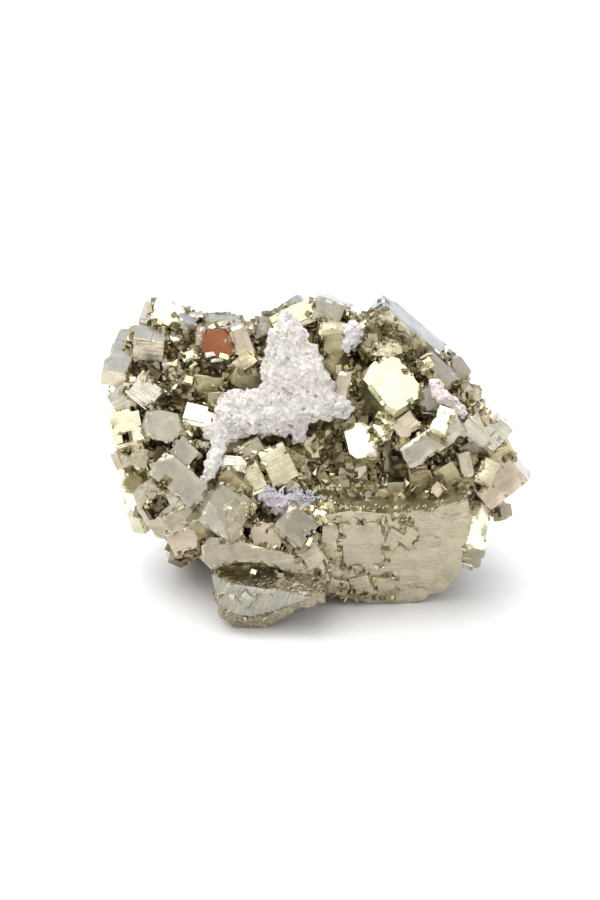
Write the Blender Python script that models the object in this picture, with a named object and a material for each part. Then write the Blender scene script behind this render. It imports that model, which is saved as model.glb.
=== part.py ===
"""Pyrite specimen: a palm-sized cluster of intergrown cubes with pale gangue between them.

The pyrite is one solid. Its crystals are cuboids, some with cut corners, that share one union.
The pale gangue and the quartz are separate solids, seated 0.3 mm clear of the pyrite.

Every piece is placed in the display side's own axes, in millimetres: across (to the right),
up the display side, and out of it. The display side leans back, so "out" also points upwards.
"""

import math
import random

import bmesh
import bpy
from mathutils import Matrix, Vector, noise

MM = 0.001
LEAN = math.radians(25)  # the display side leans back from the vertical by this much
SEAT_GAP = 0.3  # between a gangue solid and the pyrite
WELD = 0.0005  # corners closer together than this are one corner
FLOOR_LEVEL = -22.2  # where the lowest corners are ground flat, to stand on

# Display side's axes in the part's own frame: columns are across, up and out.
DISPLAY = Matrix(
    (
        (1, 0, 0),
        (0, math.sin(LEAN), -math.cos(LEAN)),
        (0, math.cos(LEAN), math.sin(LEAN)),
    )
)

# Each crystal: centre of its display face (across, up, out), its width, height and depth,
# spin (anticlockwise, in the face), pitch (face turned up), yaw (face turned right),
# and how much is cut off its corners. Lengths in mm, angles in degrees.

CROWN = (
    (-29.4, 29.6, -1.0, 6.6, 6.0, 8.0, -24, 30, 10, 0.9),
    (-33.6, 29.6, -2.5, 2.6, 5.0, 5.0, -10, 25, -20, 0.5),
    (-24.6, 29.2, -2.0, 4.6, 3.0, 5.0, 10, 50, 0, 0.0),
    (-33.2, 21.8, 4.5, 6.4, 4.4, 7.0, -6, -28, -4, 0.4),
    (-25.6, 25.4, 1.5, 3.4, 4.2, 8.0, -8, -28, 14, 0.0),
    (-28.0, 24.4, 3.0, 2.4, 1.8, 5.0, -35, 30, 4, 0.0),
    (-19.4, 27.2, -5.0, 5.2, 4.4, 8.0, 2, -4, 0, 1.6),
    (-18.6, 26.6, 3.0, 7.0, 2.6, 8.0, -2, -10, 0, 0.5),
    (-19.2, 22.8, 7.0, 6.6, 6.2, 8.0, -3, -6, 0, 1.6),
    (-22.8, 24.6, 6.0, 2.0, 3.6, 6.0, -8, -8, -15, 0.0),
    (-14.6, 23.8, 8.0, 3.6, 6.2, 8.0, 22, -8, 10, 0.0),
    (-14.6, 26.6, -1.0, 5.0, 3.0, 8.0, -8, 4, 0, 0.6),
    (-10.6, 26.8, -2.0, 6.0, 4.0, 8.0, 26, 2, -6, 0.0),
    (-4.8, 29.6, -6.0, 5.6, 5.2, 9.0, 34, 0, -8, 1.4),
    (-7.6, 28.0, 0.0, 2.8, 2.8, 6.0, 30, 22, 0, 0.0),
    (-2.6, 29.2, -0.5, 6.2, 5.0, 8.0, 22, 16, -4, 0.0),
    (2.4, 29.6, 1.0, 6.4, 5.0, 9.0, -20, -4, -12, 0.0),
    (3.4, 26.0, 5.0, 5.4, 3.4, 8.0, -8, 13, 0, 0.0),
    (4.0, 22.6, 7.0, 4.6, 5.0, 8.0, 5, -18, 0, 1.2),
    (8.4, 27.2, 2.0, 1.8, 4.0, 7.0, 24, -5, 18, 0.0),
    (10.6, 26.4, 4.0, 3.0, 3.6, 6.0, 35, 30, 0, 0.8),
    (9.0, 23.0, 5.0, 4.0, 2.6, 6.0, 20, 0, 0, 0.0),
)
LEFT_FLANK = (
    (-40.2, 16.0, 5.0, 5.4, 4.2, 15.0, -8, -35, -18, 0.6),
    (-36.6, 25.0, 0.0, 2.2, 3.0, 3.0, -12, 30, 0, 0.0),
    (-33.8, 14.0, 8.0, 6.4, 6.0, 7.0, -38, 22, -8, 0.0),
    (-38.0, 12.0, 6.0, 6.0, 5.0, 6.0, 30, -8, -20, 0.0),
    (-37.4, 6.4, 8.0, 6.0, 7.6, 9.0, 14, 16, -8, 0.5),
    (-30.2, 6.8, 10.0, 8.0, 6.0, 8.0, -12, 0, 6, 1.6),
    (-23.2, 8.8, 10.0, 5.8, 4.8, 6.0, -15, 30, 2, 0.0),
    (-25.2, 5.8, 10.0, 2.4, 3.0, 4.0, -15, 30, 2, 0.0),
    (-25.6, 1.8, 12.0, 4.8, 4.8, 6.0, -40, 2, -4, 0.0),
    (-22.4, 2.8, 11.5, 2.8, 2.4, 4.0, -12, 4, 0, 0.0),
    (-38.8, 0.0, 5.0, 3.6, 3.6, 5.0, 18, -14, -20, 0.0),
    (-35.0, 0.6, 8.0, 4.0, 4.0, 5.0, -15, -6, -8, 0.0),
    (-24.8, 20.8, 4.0, 3.8, 2.2, 3.0, 22, 30, 0, 0.0),
    (-28.2, 16.8, 7.0, 2.8, 6.0, 6.0, 22, -2, 0, 0.0),
    (-25.4, 16.0, 8.5, 2.6, 2.2, 3.0, -14, 30, 0, 0.0),
    (-27.6, 18.0, 9.0, 1.7, 2.1, 2.4, -10, 8, 0, 0.0),
    (-21.8, 14.6, 6.0, 7.2, 4.6, 6.0, -6, -20, 5, 0.0),
    (-20.2, 11.8, 8.0, 3.6, 3.4, 5.0, 4, -12, -12, 0.0),
    (-13.6, 16.4, 7.0, 6.0, 5.0, 7.0, -25, -18, 12, 1.4),
    (-14.0, 19.6, 8.0, 4.4, 3.2, 4.0, 38, 10, -10, 0.0),
)
LOWER_LEFT = (
    (-26.8, -4.0, 13.0, 12.0, 6.0, 10.0, -40, 2, -3, 1.2),
    (-17.0, -10.2, 17.0, 9.0, 9.6, 12.0, -32, 6, 22, 0.8),
    (-25.0, -15.4, 10.5, 8.4, 4.8, 8.0, 25, -14, -2, 0.0),
    (-26.6, -11.8, 11.5, 6.4, 4.6, 7.0, 28, -10, 0, 0.0),
    (-12.2, -3.8, 13.0, 4.4, 6.2, 9.0, 25, 10, -4, 0.0),
    (-7.2, -1.0, 14.0, 5.6, 8.2, 9.0, 25, 10, 2, 0.0),
    (-16.2, -0.6, 14.0, 5.4, 3.2, 5.0, -6, 20, 0, 0.9),
    (-15.8, 1.4, 12.5, 6.0, 2.2, 4.0, 8, -25, 0, 0.0),
    (-12.6, 1.8, 12.8, 5.0, 4.0, 5.0, 30, -5, 0, 0.0),
    (-16.2, -5.0, 14.5, 4.0, 6.6, 5.0, 42, -25, -10, 0.9),
    (-5.0, -4.8, 13.5, 3.0, 3.4, 5.0, 38, 0, 0, 0.0),
    (-9.8, -15.6, 15.0, 6.4, 6.8, 8.0, -4, -6, -12, 0.0),
    (-6.6, -14.8, 15.5, 2.0, 7.4, 6.0, 32, 0, -30, 0.0),
    (-3.6, -12.8, 18.0, 7.0, 7.4, 8.0, -40, 2, 10, 0.8),
    (-1.4, -16.6, 17.0, 1.6, 6.0, 5.0, -52, 0, 0, 0.0),
    (-0.8, -19.2, 17.0, 4.6, 4.8, 6.0, 30, -12, 0, 0.0),
    (0.6, -10.4, 17.5, 3.2, 1.8, 3.0, -32, 30, 0, 0.0),
    (2.2, -9.2, 15.0, 3.4, 3.2, 4.0, 15, 22, 10, 0.0),
)
FOOT = (
    (-3.0, -24.0, 11.0, 14.0, 5.0, 10.0, -8, -25, 0, 0.0),
    (-13.0, -22.4, 12.0, 14.0, 4.0, 8.0, 0, -45, 0, 0.0),
    (-18.4, -26.6, 17.0, 3.0, 7.0, 14.0, 8, 5, -35, 0.0),
    (-13.4, -27.0, 22.4, 3.0, 3.2, 5.0, -38, 8, -4, 0.0),
)
GREAT_BLOCK = (
    (9.6, -16.8, 15.2, 8.4, 9.6, 6.0, 2, -24, 2, 0.0),
    (2.8, -16.6, 15.5, 3.4, 9.2, 10.0, -6, -24, -4, 0.0),
    (15.2, -15.8, 15.3, 3.2, 4.4, 5.0, -32, -23, 2, 0.0),
    (18.2, -15.4, 15.5, 3.0, 4.6, 5.0, -34, -24, 2, 0.0),
    (9.4, -25.0, 11.5, 4.6, 4.4, 8.0, 18, -22, 0, 0.0),
    (4.2, -25.2, 11.6, 5.0, 3.4, 8.0, -14, -26, 0, 0.0),
    (13.8, -25.4, 10.9, 4.2, 4.8, 8.0, 2, -26, 0, 0.0),
    (32.2, -12.8, 9.0, 4.4, 11.0, 8.0, -9, 28, 10, 0.6),
    (30.6, -19.2, 6.5, 4.4, 5.0, 8.0, -20, -10, 20, 0.0),
)
RIGHT = (
    (16.8, 22.0, 3.0, 16.8, 10.0, 7.5, -42, -25, 0, 0.0),
    (15.2, 15.4, 13.0, 8.8, 11.6, 12.0, 33, 28, 3, 1.8),
    (13.4, 22.4, 9.0, 6.6, 4.0, 6.0, -12, 22, -6, 0.8),
    (2.8, 17.2, 9.0, 3.6, 4.2, 6.0, 2, -28, -30, 0.0),
    (5.6, 14.8, 12.0, 3.0, 5.6, 5.0, -4, -10, 4, 0.0),
    (21.8, 19.2, 10.0, 3.2, 2.8, 4.0, 30, 12, 0, 0.0),
    (24.6, 17.4, 8.0, 8.0, 4.4, 6.0, -42, -6, 6, 0.0),
    (28.4, 18.0, 2.0, 5.0, 4.6, 8.0, -50, -5, 10, 1.0),
    (29.4, 13.8, 3.0, 4.0, 3.0, 8.0, -45, 50, 0, 0.0),
    (31.0, 12.0, 5.0, 5.0, 4.0, 7.0, -42, -8, 8, 0.0),
    (33.8, 6.0, 9.0, 9.0, 7.0, 10.0, -40, -14, 6, 0.0),
    (36.0, -4.0, 7.5, 9.6, 8.4, 10.0, 38, -10, -6, 0.5),
    (37.8, 1.6, 7.5, 3.4, 3.6, 4.0, 30, -20, 10, 0.0),
    (34.2, -2.4, 12.0, 3.2, 5.6, 4.0, -22, 12, 0, 0.0),
    (29.8, -1.0, 13.5, 2.6, 5.4, 4.0, 12, 4, -8, 0.0),
    (23.2, 3.6, 16.0, 13.6, 5.0, 12.0, 34, -10, 0, 0.0),
    (25.0, 8.0, 17.6, 3.6, 6.4, 8.0, -22, 30, 0, 0.0),
    (33.0, 3.0, 8.0, 9.0, 3.0, 6.0, 25, -12, 0, 0.0),
    (26.4, -3.4, 11.0, 5.4, 5.4, 6.0, 32, -20, 0, 0.0),
    (20.6, -3.4, 11.0, 4.0, 4.0, 5.0, 10, -20, 0, 0.0),
    (24.2, -5.8, 14.0, 2.4, 2.6, 3.0, 42, 4, 0, 0.0),
    (18.0, 7.0, 13.0, 5.0, 4.0, 6.0, 38, 8, 0, 0.0),
    (23.0, 12.0, 12.0, 5.0, 5.0, 6.0, 30, -8, 0, 0.0),
)
CENTRE = (
    (9.2, 4.0, 11.0, 6.0, 8.0, 6.0, 12, 30, 0, 1.2),
    (14.8, 7.8, 12.5, 2.8, 4.0, 4.0, 30, 30, 0, 0.0),
    (12.8, 6.2, 12.2, 1.9, 3.4, 4.0, 30, 30, 0, 0.0),
    (13.8, 4.6, 12.6, 1.6, 1.6, 3.0, 30, 30, 0, 0.0),
    (12.2, 4.4, 12.0, 1.4, 1.4, 3.0, 30, 30, 0, 0.0),
    (8.2, -1.8, 10.0, 4.0, 3.8, 5.0, 8, 2, 0, 1.1),
    (10.6, 0.2, 9.5, 5.0, 2.6, 4.0, 22, -6, 0, 0.0),
    (14.4, 0.4, 8.0, 2.0, 6.0, 6.0, 8, -10, 20, 0.0),
    (2.0, 2.4, 6.0, 3.0, 8.0, 8.0, 30, -5, 30, 0.0),
    (5.0, -1.0, 7.0, 3.0, 10.0, 8.0, 28, 0, -30, 0.0),
    (-0.4, 3.0, 8.0, 3.4, 3.4, 5.0, 35, 12, 10, 0.0),
    (5.0, -5.6, 9.0, 4.0, 5.0, 5.0, 12, -8, 0, 0.0),
)
# The two upright cubes under the back, which the specimen also stands on.
REAR_FEET = (
    (-17.0, -9.6, -13.0, 12.0, 16.6, 11.0, 0, -25, 14, 0.8),
    (15.0, -9.0, -12.0, 13.0, 18.6, 11.0, 0, -25, -10, 1.2),
)

# Crystals whose display face isn't a rectangle: out, pitch and yaw of the face, depth, and the
# corners of the face (across, up), anticlockwise. The depth runs straight back from the face.
OUTLINED = (
    # the great block, upright on the ground
    (13.4, -25, 3, 17.0, ((1.4, -11.0), (1.4, -25.0), (4.0, -27.4), (8.0, -28.0), (12.0, -28.6),
                          (17.0, -28.8), (22.0, -27.6), (25.4, -26.0), (28.0, -23.8), (29.2, -21.0),
                          (29.4, -17.6), (30.6, -14.0), (31.0, -11.0), (30.2, -7.8), (23.0, -9.2),
                          (16.2, -10.8), (7.0, -10.0))),
    # the foot: a light facet, and the band under it
    (22.0, 6, -4, 14.0, ((-20.4, -22.4), (-19.8, -26.0), (-19.0, -28.4), (-15.8, -30.2),
                         (-12.6, -30.8), (-8.6, -29.8), (-5.0, -28.4), (-0.6, -26.8),
                         (-3.8, -26.0), (-10.6, -25.0), (-15.0, -24.4), (-17.4, -23.6))),
    (21.0, -28, -2, 18.0, ((-19.6, -27.0), (-18.8, -31.2), (-15.8, -33.2), (-13.0, -34.0),
                           (-10.0, -33.6), (-6.4, -31.4), (-3.0, -29.4), (2.0, -28.2),
                           (2.0, -26.0), (-4.0, -26.0), (-12.0, -27.0))),
    # the shelf over the foot
    (15.8, -8, -4, 12.0, ((-22.6, -17.0), (-22.4, -20.0), (-20.6, -21.8), (-18.0, -21.2),
                          (-15.0, -20.2), (-10.6, -20.6), (-5.0, -22.4), (3.0, -24.0),
                          (1.4, -19.4), (-5.0, -18.2), (-10.6, -17.2), (-15.0, -15.6),
                          (-20.6, -15.0))),
    # the left lip, and the bright crystal behind it
    (10.0, -12, -14, 12.0, ((-36.2, -6.6), (-35.6, -9.6), (-33.6, -13.0), (-31.4, -15.6),
                            (-29.4, -16.0), (-27.0, -18.6), (-23.8, -17.6), (-21.0, -16.0),
                            (-22.0, -13.6), (-23.8, -11.0), (-26.0, -8.0), (-32.6, -3.8),
                            (-35.0, -5.0))),
    (2.0, 28, -8, 9.0, ((-39.2, -1.2), (-38.8, -6.0), (-37.6, -10.4), (-35.0, -10.8),
                        (-31.0, -8.0), (-31.0, -2.0), (-36.0, -0.6))),
)

# The broken mass behind the display side, as big cuboids: centre of face, size, turns.
CORE = (
    (-17.0, 9.0, 3.0, 38.0, 26.0, 16.0, -8, 6, -6, 3.0),
    (-15.0, -8.0, 7.0, 30.0, 20.0, 18.0, 8, -6, -4, 3.0),
    (14.0, 6.0, 4.0, 33.0, 25.0, 16.0, -12, 4, 6, 4.0),
    (14.0, -11.0, 8.0, 28.0, 14.0, 18.0, 4, -25, 2, 3.0),
    (-11.0, -24.6, 8.5, 14.0, 9.0, 12.0, -4, -25, 0, 1.0),
    (-2.0, 21.0, -3.0, 30.0, 11.0, 8.0, -2, 4, 0, 2.5),
    (29.0, -4.0, 4.0, 15.0, 17.0, 10.0, 10, -10, 4, 3.0),
    (-32.0, 17.0, 0.0, 13.0, 15.0, 8.0, 0, 0, -10, 2.0),
    (0.0, 2.0, -8.0, 50.0, 26.0, 12.0, 4, -12, 0, 6.0),
)

# The back and underside: cubes over an ellipsoid, in the display side's axes.
BACK_SEED = 5
BACK_COUNT = 110
BACK_CENTRE = Vector((-1.0, 3.0, -7.0))
BACK_RADII = Vector((30.5, 19.0, 17.5))
BACK_FRONT_LIMIT = -4.0  # no cube's face centre is further out than this,
UNDER_FRONT_LIMIT = 5.0  # or than this on the underside,
UNDER_FROM = -0.25  # which starts this far down the ellipsoid, as a share of its radius
BACK_LOW_LIMIT = -19.5  # cubes lower than this are raised to it
BACK_DEPTH = 12.0
GOLDEN_ANGLE = math.pi * (3 - math.sqrt(5))

# Hollows broken or etched into the crystals, given as the crystals are.
PITS = (
    (-38.0, 4.8, 9.6, 1.8, 1.8, 4.0, 14, 16, -8, 0.0),
    (-31.6, -9.6, 11.0, 4.6, 3.2, 5.0, 30, -10, -10, 0.0),
    (-2.6, -13.4, 19.4, 1.8, 1.4, 3.0, 20, 0, 10, 0.0),
    (-22.6, 1.2, 13.0, 1.0, 2.6, 4.0, -12, 4, 0, 0.0),
    (-30.0, -4.6, 15.0, 2.4, 1.0, 3.4, 30, 0, 0, 0.0),
)

# Knobbly ellipsoids of gangue: centre (across, up, out), width, height, depth and spin.
LUMP_DETAIL = 2
LUMP_FREQUENCY = 3.5
LUMP_ROUGHNESS = 0.3
PALE_MATRIX = (
    (-5.6, 23.4, 8.5, 8.4, 11.0, 9.0, -8),
    (-4.0, 17.4, 9.5, 14.0, 12.0, 9.0, -20),
    (-1.0, 11.6, 10.0, 15.0, 9.0, 8.0, 10),
    (4.2, 10.0, 10.5, 7.0, 5.0, 6.0, 0),
    (-8.4, 9.8, 10.5, 13.0, 10.4, 8.0, 6),
    (-15.0, 9.0, 10.5, 10.6, 11.0, 8.0, 15),
    (-18.6, 5.6, 11.0, 6.4, 7.0, 7.0, 0),
    (-3.2, 5.6, 9.5, 3.6, 5.4, 6.0, -10),
    (-19.8, -0.2, 13.0, 4.0, 9.6, 7.0, -22),
    (-18.8, 3.4, 12.0, 4.4, 5.0, 7.0, 0),
)
QUARTZ_DRUSE = (
    (-5.2, -8.4, 13.0, 8.0, 4.0, 5.0, 30),
    (-8.8, -7.4, 13.0, 5.0, 4.0, 5.0, 0),
    (-2.2, -8.8, 13.0, 4.4, 3.4, 5.0, -20),
)
PALE_CRUST = (
    (25.4, 12.4, 13.0, 5.0, 3.4, 5.0, -40),
    (28.2, 10.2, 12.0, 5.4, 3.4, 5.0, -48),
    (24.0, 14.6, 11.5, 3.2, 3.8, 5.0, 0),
)
PALE_PATCH = (
    (7.6, 25.2, 6.0, 4.4, 5.4, 5.0, 20),
    (6.4, 23.0, 7.0, 2.6, 3.4, 4.0, 0),
)


def crystal(bm, grow, across, up, out, width, height, depth, spin, pitch, yaw, cut):
    """Adds one cuboid to bm, its display face where the first three values say.

    grow makes it larger all round, which is how the seats of the gangue are cut."""
    made = bmesh.ops.create_cube(bm, size=1.0)
    corners = made["verts"]
    size = Vector((width, height, depth)) + Vector((2, 2, 2)) * grow
    bmesh.ops.scale(bm, vec=size, verts=corners)
    bmesh.ops.translate(bm, vec=(0, 0, -depth / 2), verts=corners)
    if cut:
        cut_faces = bmesh.ops.bevel(
            bm,
            geom=corners,
            offset=cut,
            affect="VERTICES",
            segments=1,
            profile=0.5,
            material=-1,
        )
        corners = list({v for f in cut_faces["faces"] for v in f.verts})
    turn = (
        Matrix.Rotation(math.radians(yaw), 3, "Y")
        @ Matrix.Rotation(math.radians(-pitch), 3, "X")
        @ Matrix.Rotation(math.radians(spin), 3, "Z")
    )
    bmesh.ops.transform(
        bm,
        matrix=Matrix.Translation(DISPLAY @ Vector((across, up, out)))
        @ (DISPLAY @ turn).to_4x4(),
        verts=corners,
    )


def outlined(bm, grow, out, pitch, yaw, depth, corners):
    """Adds one prism to bm: its face's corners as seen, its depth square to the face.

    grow moves every side out, which is how the seats of the gangue are cut."""
    turn = Matrix.Rotation(math.radians(yaw), 3, "Y") @ Matrix.Rotation(math.radians(-pitch), 3, "X")
    normal = turn @ Vector((0, 0, 1))
    middle = Vector((min(c[0] for c in corners) + max(c[0] for c in corners),
                     min(c[1] for c in corners) + max(c[1] for c in corners))) / 2
    face = []
    for i, corner in enumerate(corners):
        before = (Vector(corner) - Vector(corners[i - 1])).normalized()
        after = (Vector(corners[(i + 1) % len(corners)]) - Vector(corner)).normalized()
        outwards = Vector((before.y + after.y, -before.x - after.x))
        reach = grow / max(0.5, outwards.length_squared / 4)
        moved = Vector(corner) + outwards * reach / 2
        slide = moved - middle
        front = out - (slide.x * normal.x + slide.y * normal.y) / normal.z
        face.append(Vector((moved.x, moved.y, front)) + normal * grow)
    fronts = [bm.verts.new(DISPLAY @ place) for place in face]
    backs = [bm.verts.new(DISPLAY @ (place - normal * (depth + 2 * grow))) for place in face]
    bm.faces.new(fronts)
    bm.faces.new(reversed(backs))
    for i, front in enumerate(fronts):
        bm.faces.new((fronts[i - 1], backs[i - 1], backs[i], front))


def crystals_mesh(name, rows, outlines=(), grow=0.0):
    """One mesh with a solid for each row and outline, still overlapping one another."""
    bm = bmesh.new()
    for row in rows:
        crystal(bm, grow, *row)
    for outline in outlines:
        outlined(bm, grow, *outline)
    bmesh.ops.recalc_face_normals(bm, faces=bm.faces)
    mesh = bpy.data.meshes.new(name)
    bm.to_mesh(mesh)
    bm.free()
    return mesh


def back_rows():
    """The back and underside: cubes spread over an ellipsoid, each facing outwards."""
    rng = random.Random(BACK_SEED)
    rows = []
    for i in range(BACK_COUNT):
        rise = 1 - 2 * (i + 0.5) / BACK_COUNT
        ring = math.sqrt(1 - rise * rise)
        angle = i * GOLDEN_ANGLE
        way = Vector((ring * math.cos(angle), rise, ring * math.sin(angle)))
        place = BACK_CENTRE + Vector(w * r for w, r in zip(way, BACK_RADII))
        if place.z > (UNDER_FRONT_LIMIT if rise < UNDER_FROM else BACK_FRONT_LIMIT):
            continue
        too_low = BACK_LOW_LIMIT - (DISPLAY @ place).z
        if too_low > 0:
            place += DISPLAY.inverted() @ Vector((0, 0, too_low))
        normal = Vector(w / r for w, r in zip(way, BACK_RADII)).normalized()
        side = rng.uniform(6.5, 12.5)
        rows.append(
            (
                *place,
                side,
                side * rng.uniform(0.7, 1.15),
                BACK_DEPTH,
                rng.uniform(-45, 45),
                math.degrees(math.asin(normal.y)) + rng.uniform(-14, 14),
                math.degrees(math.atan2(normal.x, normal.z)) + rng.uniform(-14, 14),
                rng.choice((0.0, 0.0, 0.6, 1.4)),
            )
        )
    return rows


def lump_mesh(name, lumps):
    """One mesh of knobbly ellipsoids, still overlapping one another."""
    bm = bmesh.new()
    for across, up, out, width, height, depth, spin in lumps:
        ball = bmesh.ops.create_icosphere(bm, subdivisions=LUMP_DETAIL, radius=0.5)["verts"]
        for v in ball:
            v.co *= 1 + LUMP_ROUGHNESS * noise.noise(v.co * LUMP_FREQUENCY + Vector((across, up, out)))
        bmesh.ops.scale(bm, vec=(width, height, depth), verts=ball)
        turn = DISPLAY @ Matrix.Rotation(math.radians(spin), 3, "Z")
        place = Matrix.Translation(DISPLAY @ Vector((across, up, out)))
        bmesh.ops.transform(bm, matrix=place @ turn.to_4x4(), verts=ball)
    mesh = bpy.data.meshes.new(name)
    bm.to_mesh(mesh)
    bm.free()
    return mesh


def boolean(target, cutter, operation):
    """Cuts, joins or trims target by cutter, and leaves the result as target's mesh."""
    step = target.modifiers.new(operation.title(), "BOOLEAN")
    step.operation = operation
    step.object = cutter
    step.solver = "EXACT"
    step.use_self = True
    bpy.context.view_layer.update()
    graph = bpy.context.evaluated_depsgraph_get()
    result = bpy.data.meshes.new_from_object(target.evaluated_get(graph))
    target.modifiers.remove(step)
    target.data = result


def keep_largest_shell(target):
    """Drops every closed shell but the widest: sealed hollows and crumbs that touch nothing."""
    bm = bmesh.new()
    bm.from_mesh(target.data)
    bmesh.ops.remove_doubles(bm, verts=bm.verts, dist=WELD)
    bmesh.ops.dissolve_degenerate(bm, edges=bm.edges, dist=WELD)
    waiting = set(bm.verts)
    shells = []
    while waiting:
        front = [waiting.pop()]
        shell = list(front)
        while front:
            vert = front.pop()
            for edge in vert.link_edges:
                other = edge.other_vert(vert)
                if other in waiting:
                    waiting.remove(other)
                    front.append(other)
                    shell.append(other)
        shells.append(shell)
    shells.sort(key=len)
    for shell in shells[:-1]:
        bmesh.ops.delete(bm, geom=shell, context="VERTS")
    bm.to_mesh(target.data)
    bm.free()


def slab_below(level):
    """A block that fills everything below a height."""
    bm = bmesh.new()
    made = bmesh.ops.create_cube(bm, size=1.0)["verts"]
    bmesh.ops.scale(bm, vec=(200, 200, 20), verts=made)
    bmesh.ops.translate(bm, vec=(0, 0, level - 10), verts=made)
    mesh = bpy.data.meshes.new("slab")
    bm.to_mesh(mesh)
    bm.free()
    return mesh


def guide(name, mesh):
    """A guide that cuts other solids and isn't part of the specimen."""
    shape = bpy.data.objects.new(name, mesh)
    shape.hide_render = True
    shape.display_type = "WIRE"
    bpy.context.scene.collection.objects.link(shape)
    return shape


def piece(name, mesh, colour, metallic, roughness):
    """A named solid with a material of its own."""
    solid = bpy.data.objects.new(name, mesh)
    bpy.context.scene.collection.objects.link(solid)
    material = bpy.data.materials.new(name)
    material.use_nodes = True
    shader = material.node_tree.nodes["Principled BSDF"]
    shader.inputs["Base Color"].default_value = (*colour, 1)
    shader.inputs["Metallic"].default_value = metallic
    shader.inputs["Roughness"].default_value = roughness
    mesh.materials.append(material)
    return solid


for leftover in list(bpy.data.objects):
    bpy.data.objects.remove(leftover)

rows = (
    *CORE,
    *CROWN,
    *LEFT_FLANK,
    *LOWER_LEFT,
    *FOOT,
    *GREAT_BLOCK,
    *RIGHT,
    *CENTRE,
    *REAR_FEET,
    *back_rows(),
)
pyrite = piece("pyrite_cluster", crystals_mesh("core", rows[:1]), (0.52, 0.45, 0.30), 1.0, 0.32)
boolean(pyrite, guide("all_crystals", crystals_mesh("all_crystals", rows[1:], OUTLINED)), "UNION")
keep_largest_shell(pyrite)
boolean(pyrite, guide("pits", crystals_mesh("pits", PITS)), "DIFFERENCE")
boolean(pyrite, guide("ground", slab_below(FLOOR_LEVEL)), "DIFFERENCE")
keep_largest_shell(pyrite)

seats = guide("seats", crystals_mesh("seats", rows, OUTLINED, SEAT_GAP))
for name, lumps, colour, roughness in (
    ("pale_matrix", PALE_MATRIX, (0.80, 0.77, 0.77), 0.9),
    ("quartz_druse", QUARTZ_DRUSE, (0.74, 0.71, 0.80), 0.45),
    ("pale_crust", PALE_CRUST, (0.80, 0.74, 0.75), 0.85),
    ("pale_patch", PALE_PATCH, (0.84, 0.80, 0.80), 0.85),
):
    gangue = piece(name, lump_mesh(name, lumps), colour, 0.0, roughness)
    boolean(gangue, seats, "DIFFERENCE")
    keep_largest_shell(gangue)

solids = [o for o in bpy.data.objects if o.display_type != "WIRE"]
spots = [v.co for o in solids for v in o.data.vertices]
low = Vector(min(spot[i] for spot in spots) for i in range(3))
high = Vector(max(spot[i] for spot in spots) for i in range(3))
SHIFT = -MM * Vector(((low.x + high.x) / 2, (low.y + high.y) / 2, low.z))
for solid in solids:
    solid.data.transform(Matrix.Translation(SHIFT) @ Matrix.Diagonal((MM, MM, MM, 1)))
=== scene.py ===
import math
import random

import bmesh
import bpy
from mathutils import Euler, Matrix, Vector, noise
from mathutils.bvhtree import BVHTree


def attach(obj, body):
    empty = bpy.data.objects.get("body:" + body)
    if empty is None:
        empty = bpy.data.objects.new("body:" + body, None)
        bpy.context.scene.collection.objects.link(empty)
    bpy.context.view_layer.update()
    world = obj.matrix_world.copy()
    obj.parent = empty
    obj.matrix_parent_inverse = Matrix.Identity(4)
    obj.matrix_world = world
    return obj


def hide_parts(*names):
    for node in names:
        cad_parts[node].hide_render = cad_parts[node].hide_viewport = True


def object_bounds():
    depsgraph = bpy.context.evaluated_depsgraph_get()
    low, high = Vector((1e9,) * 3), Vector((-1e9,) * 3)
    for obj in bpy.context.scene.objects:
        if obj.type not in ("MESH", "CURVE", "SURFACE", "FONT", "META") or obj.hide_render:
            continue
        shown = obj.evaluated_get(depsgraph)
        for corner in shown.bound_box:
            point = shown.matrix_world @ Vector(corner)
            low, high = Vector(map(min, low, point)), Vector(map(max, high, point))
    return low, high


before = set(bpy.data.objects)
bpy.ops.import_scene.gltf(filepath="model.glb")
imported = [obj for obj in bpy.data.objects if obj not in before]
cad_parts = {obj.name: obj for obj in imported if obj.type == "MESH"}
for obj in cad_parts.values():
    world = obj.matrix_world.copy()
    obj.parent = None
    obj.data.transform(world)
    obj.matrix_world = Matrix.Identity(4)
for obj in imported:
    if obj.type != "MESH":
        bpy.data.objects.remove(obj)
cad_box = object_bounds()

# ---------------------------------------------------------------------------------------------
# The crown: a row of small cubes along the top left of the pyrite, up to the pale peak.
# Pyrite grows as cubes with fine ridges on each face, square to those of the next face. Where
# cubes meet they grow into one another, and their open corners and edges are worn.
# ---------------------------------------------------------------------------------------------
MM = 0.001
LEAN = math.radians(25)  # the display side leans back from the vertical by this much
DISPLAY = Matrix(
    (
        (1, 0, 0),
        (0, math.sin(LEAN), -math.cos(LEAN)),
        (0, math.cos(LEAN), math.sin(LEAN)),
    )
)
DISPLAY_ORIGIN = Vector((-0.2218, 2.9599, 22.2))  # in mm, in the part's frame
CUT_SPACING = 0.75  # mm between the cuts that let a face be uneven,
MOST_CUTS = 11  # and the most cuts that one edge is given
SHARP = 0.6  # an edge that turns by more radians than this is worn
NOISE_SPAN = 90  # mm: each crystal reads its noise from a place of its own within this

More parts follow.
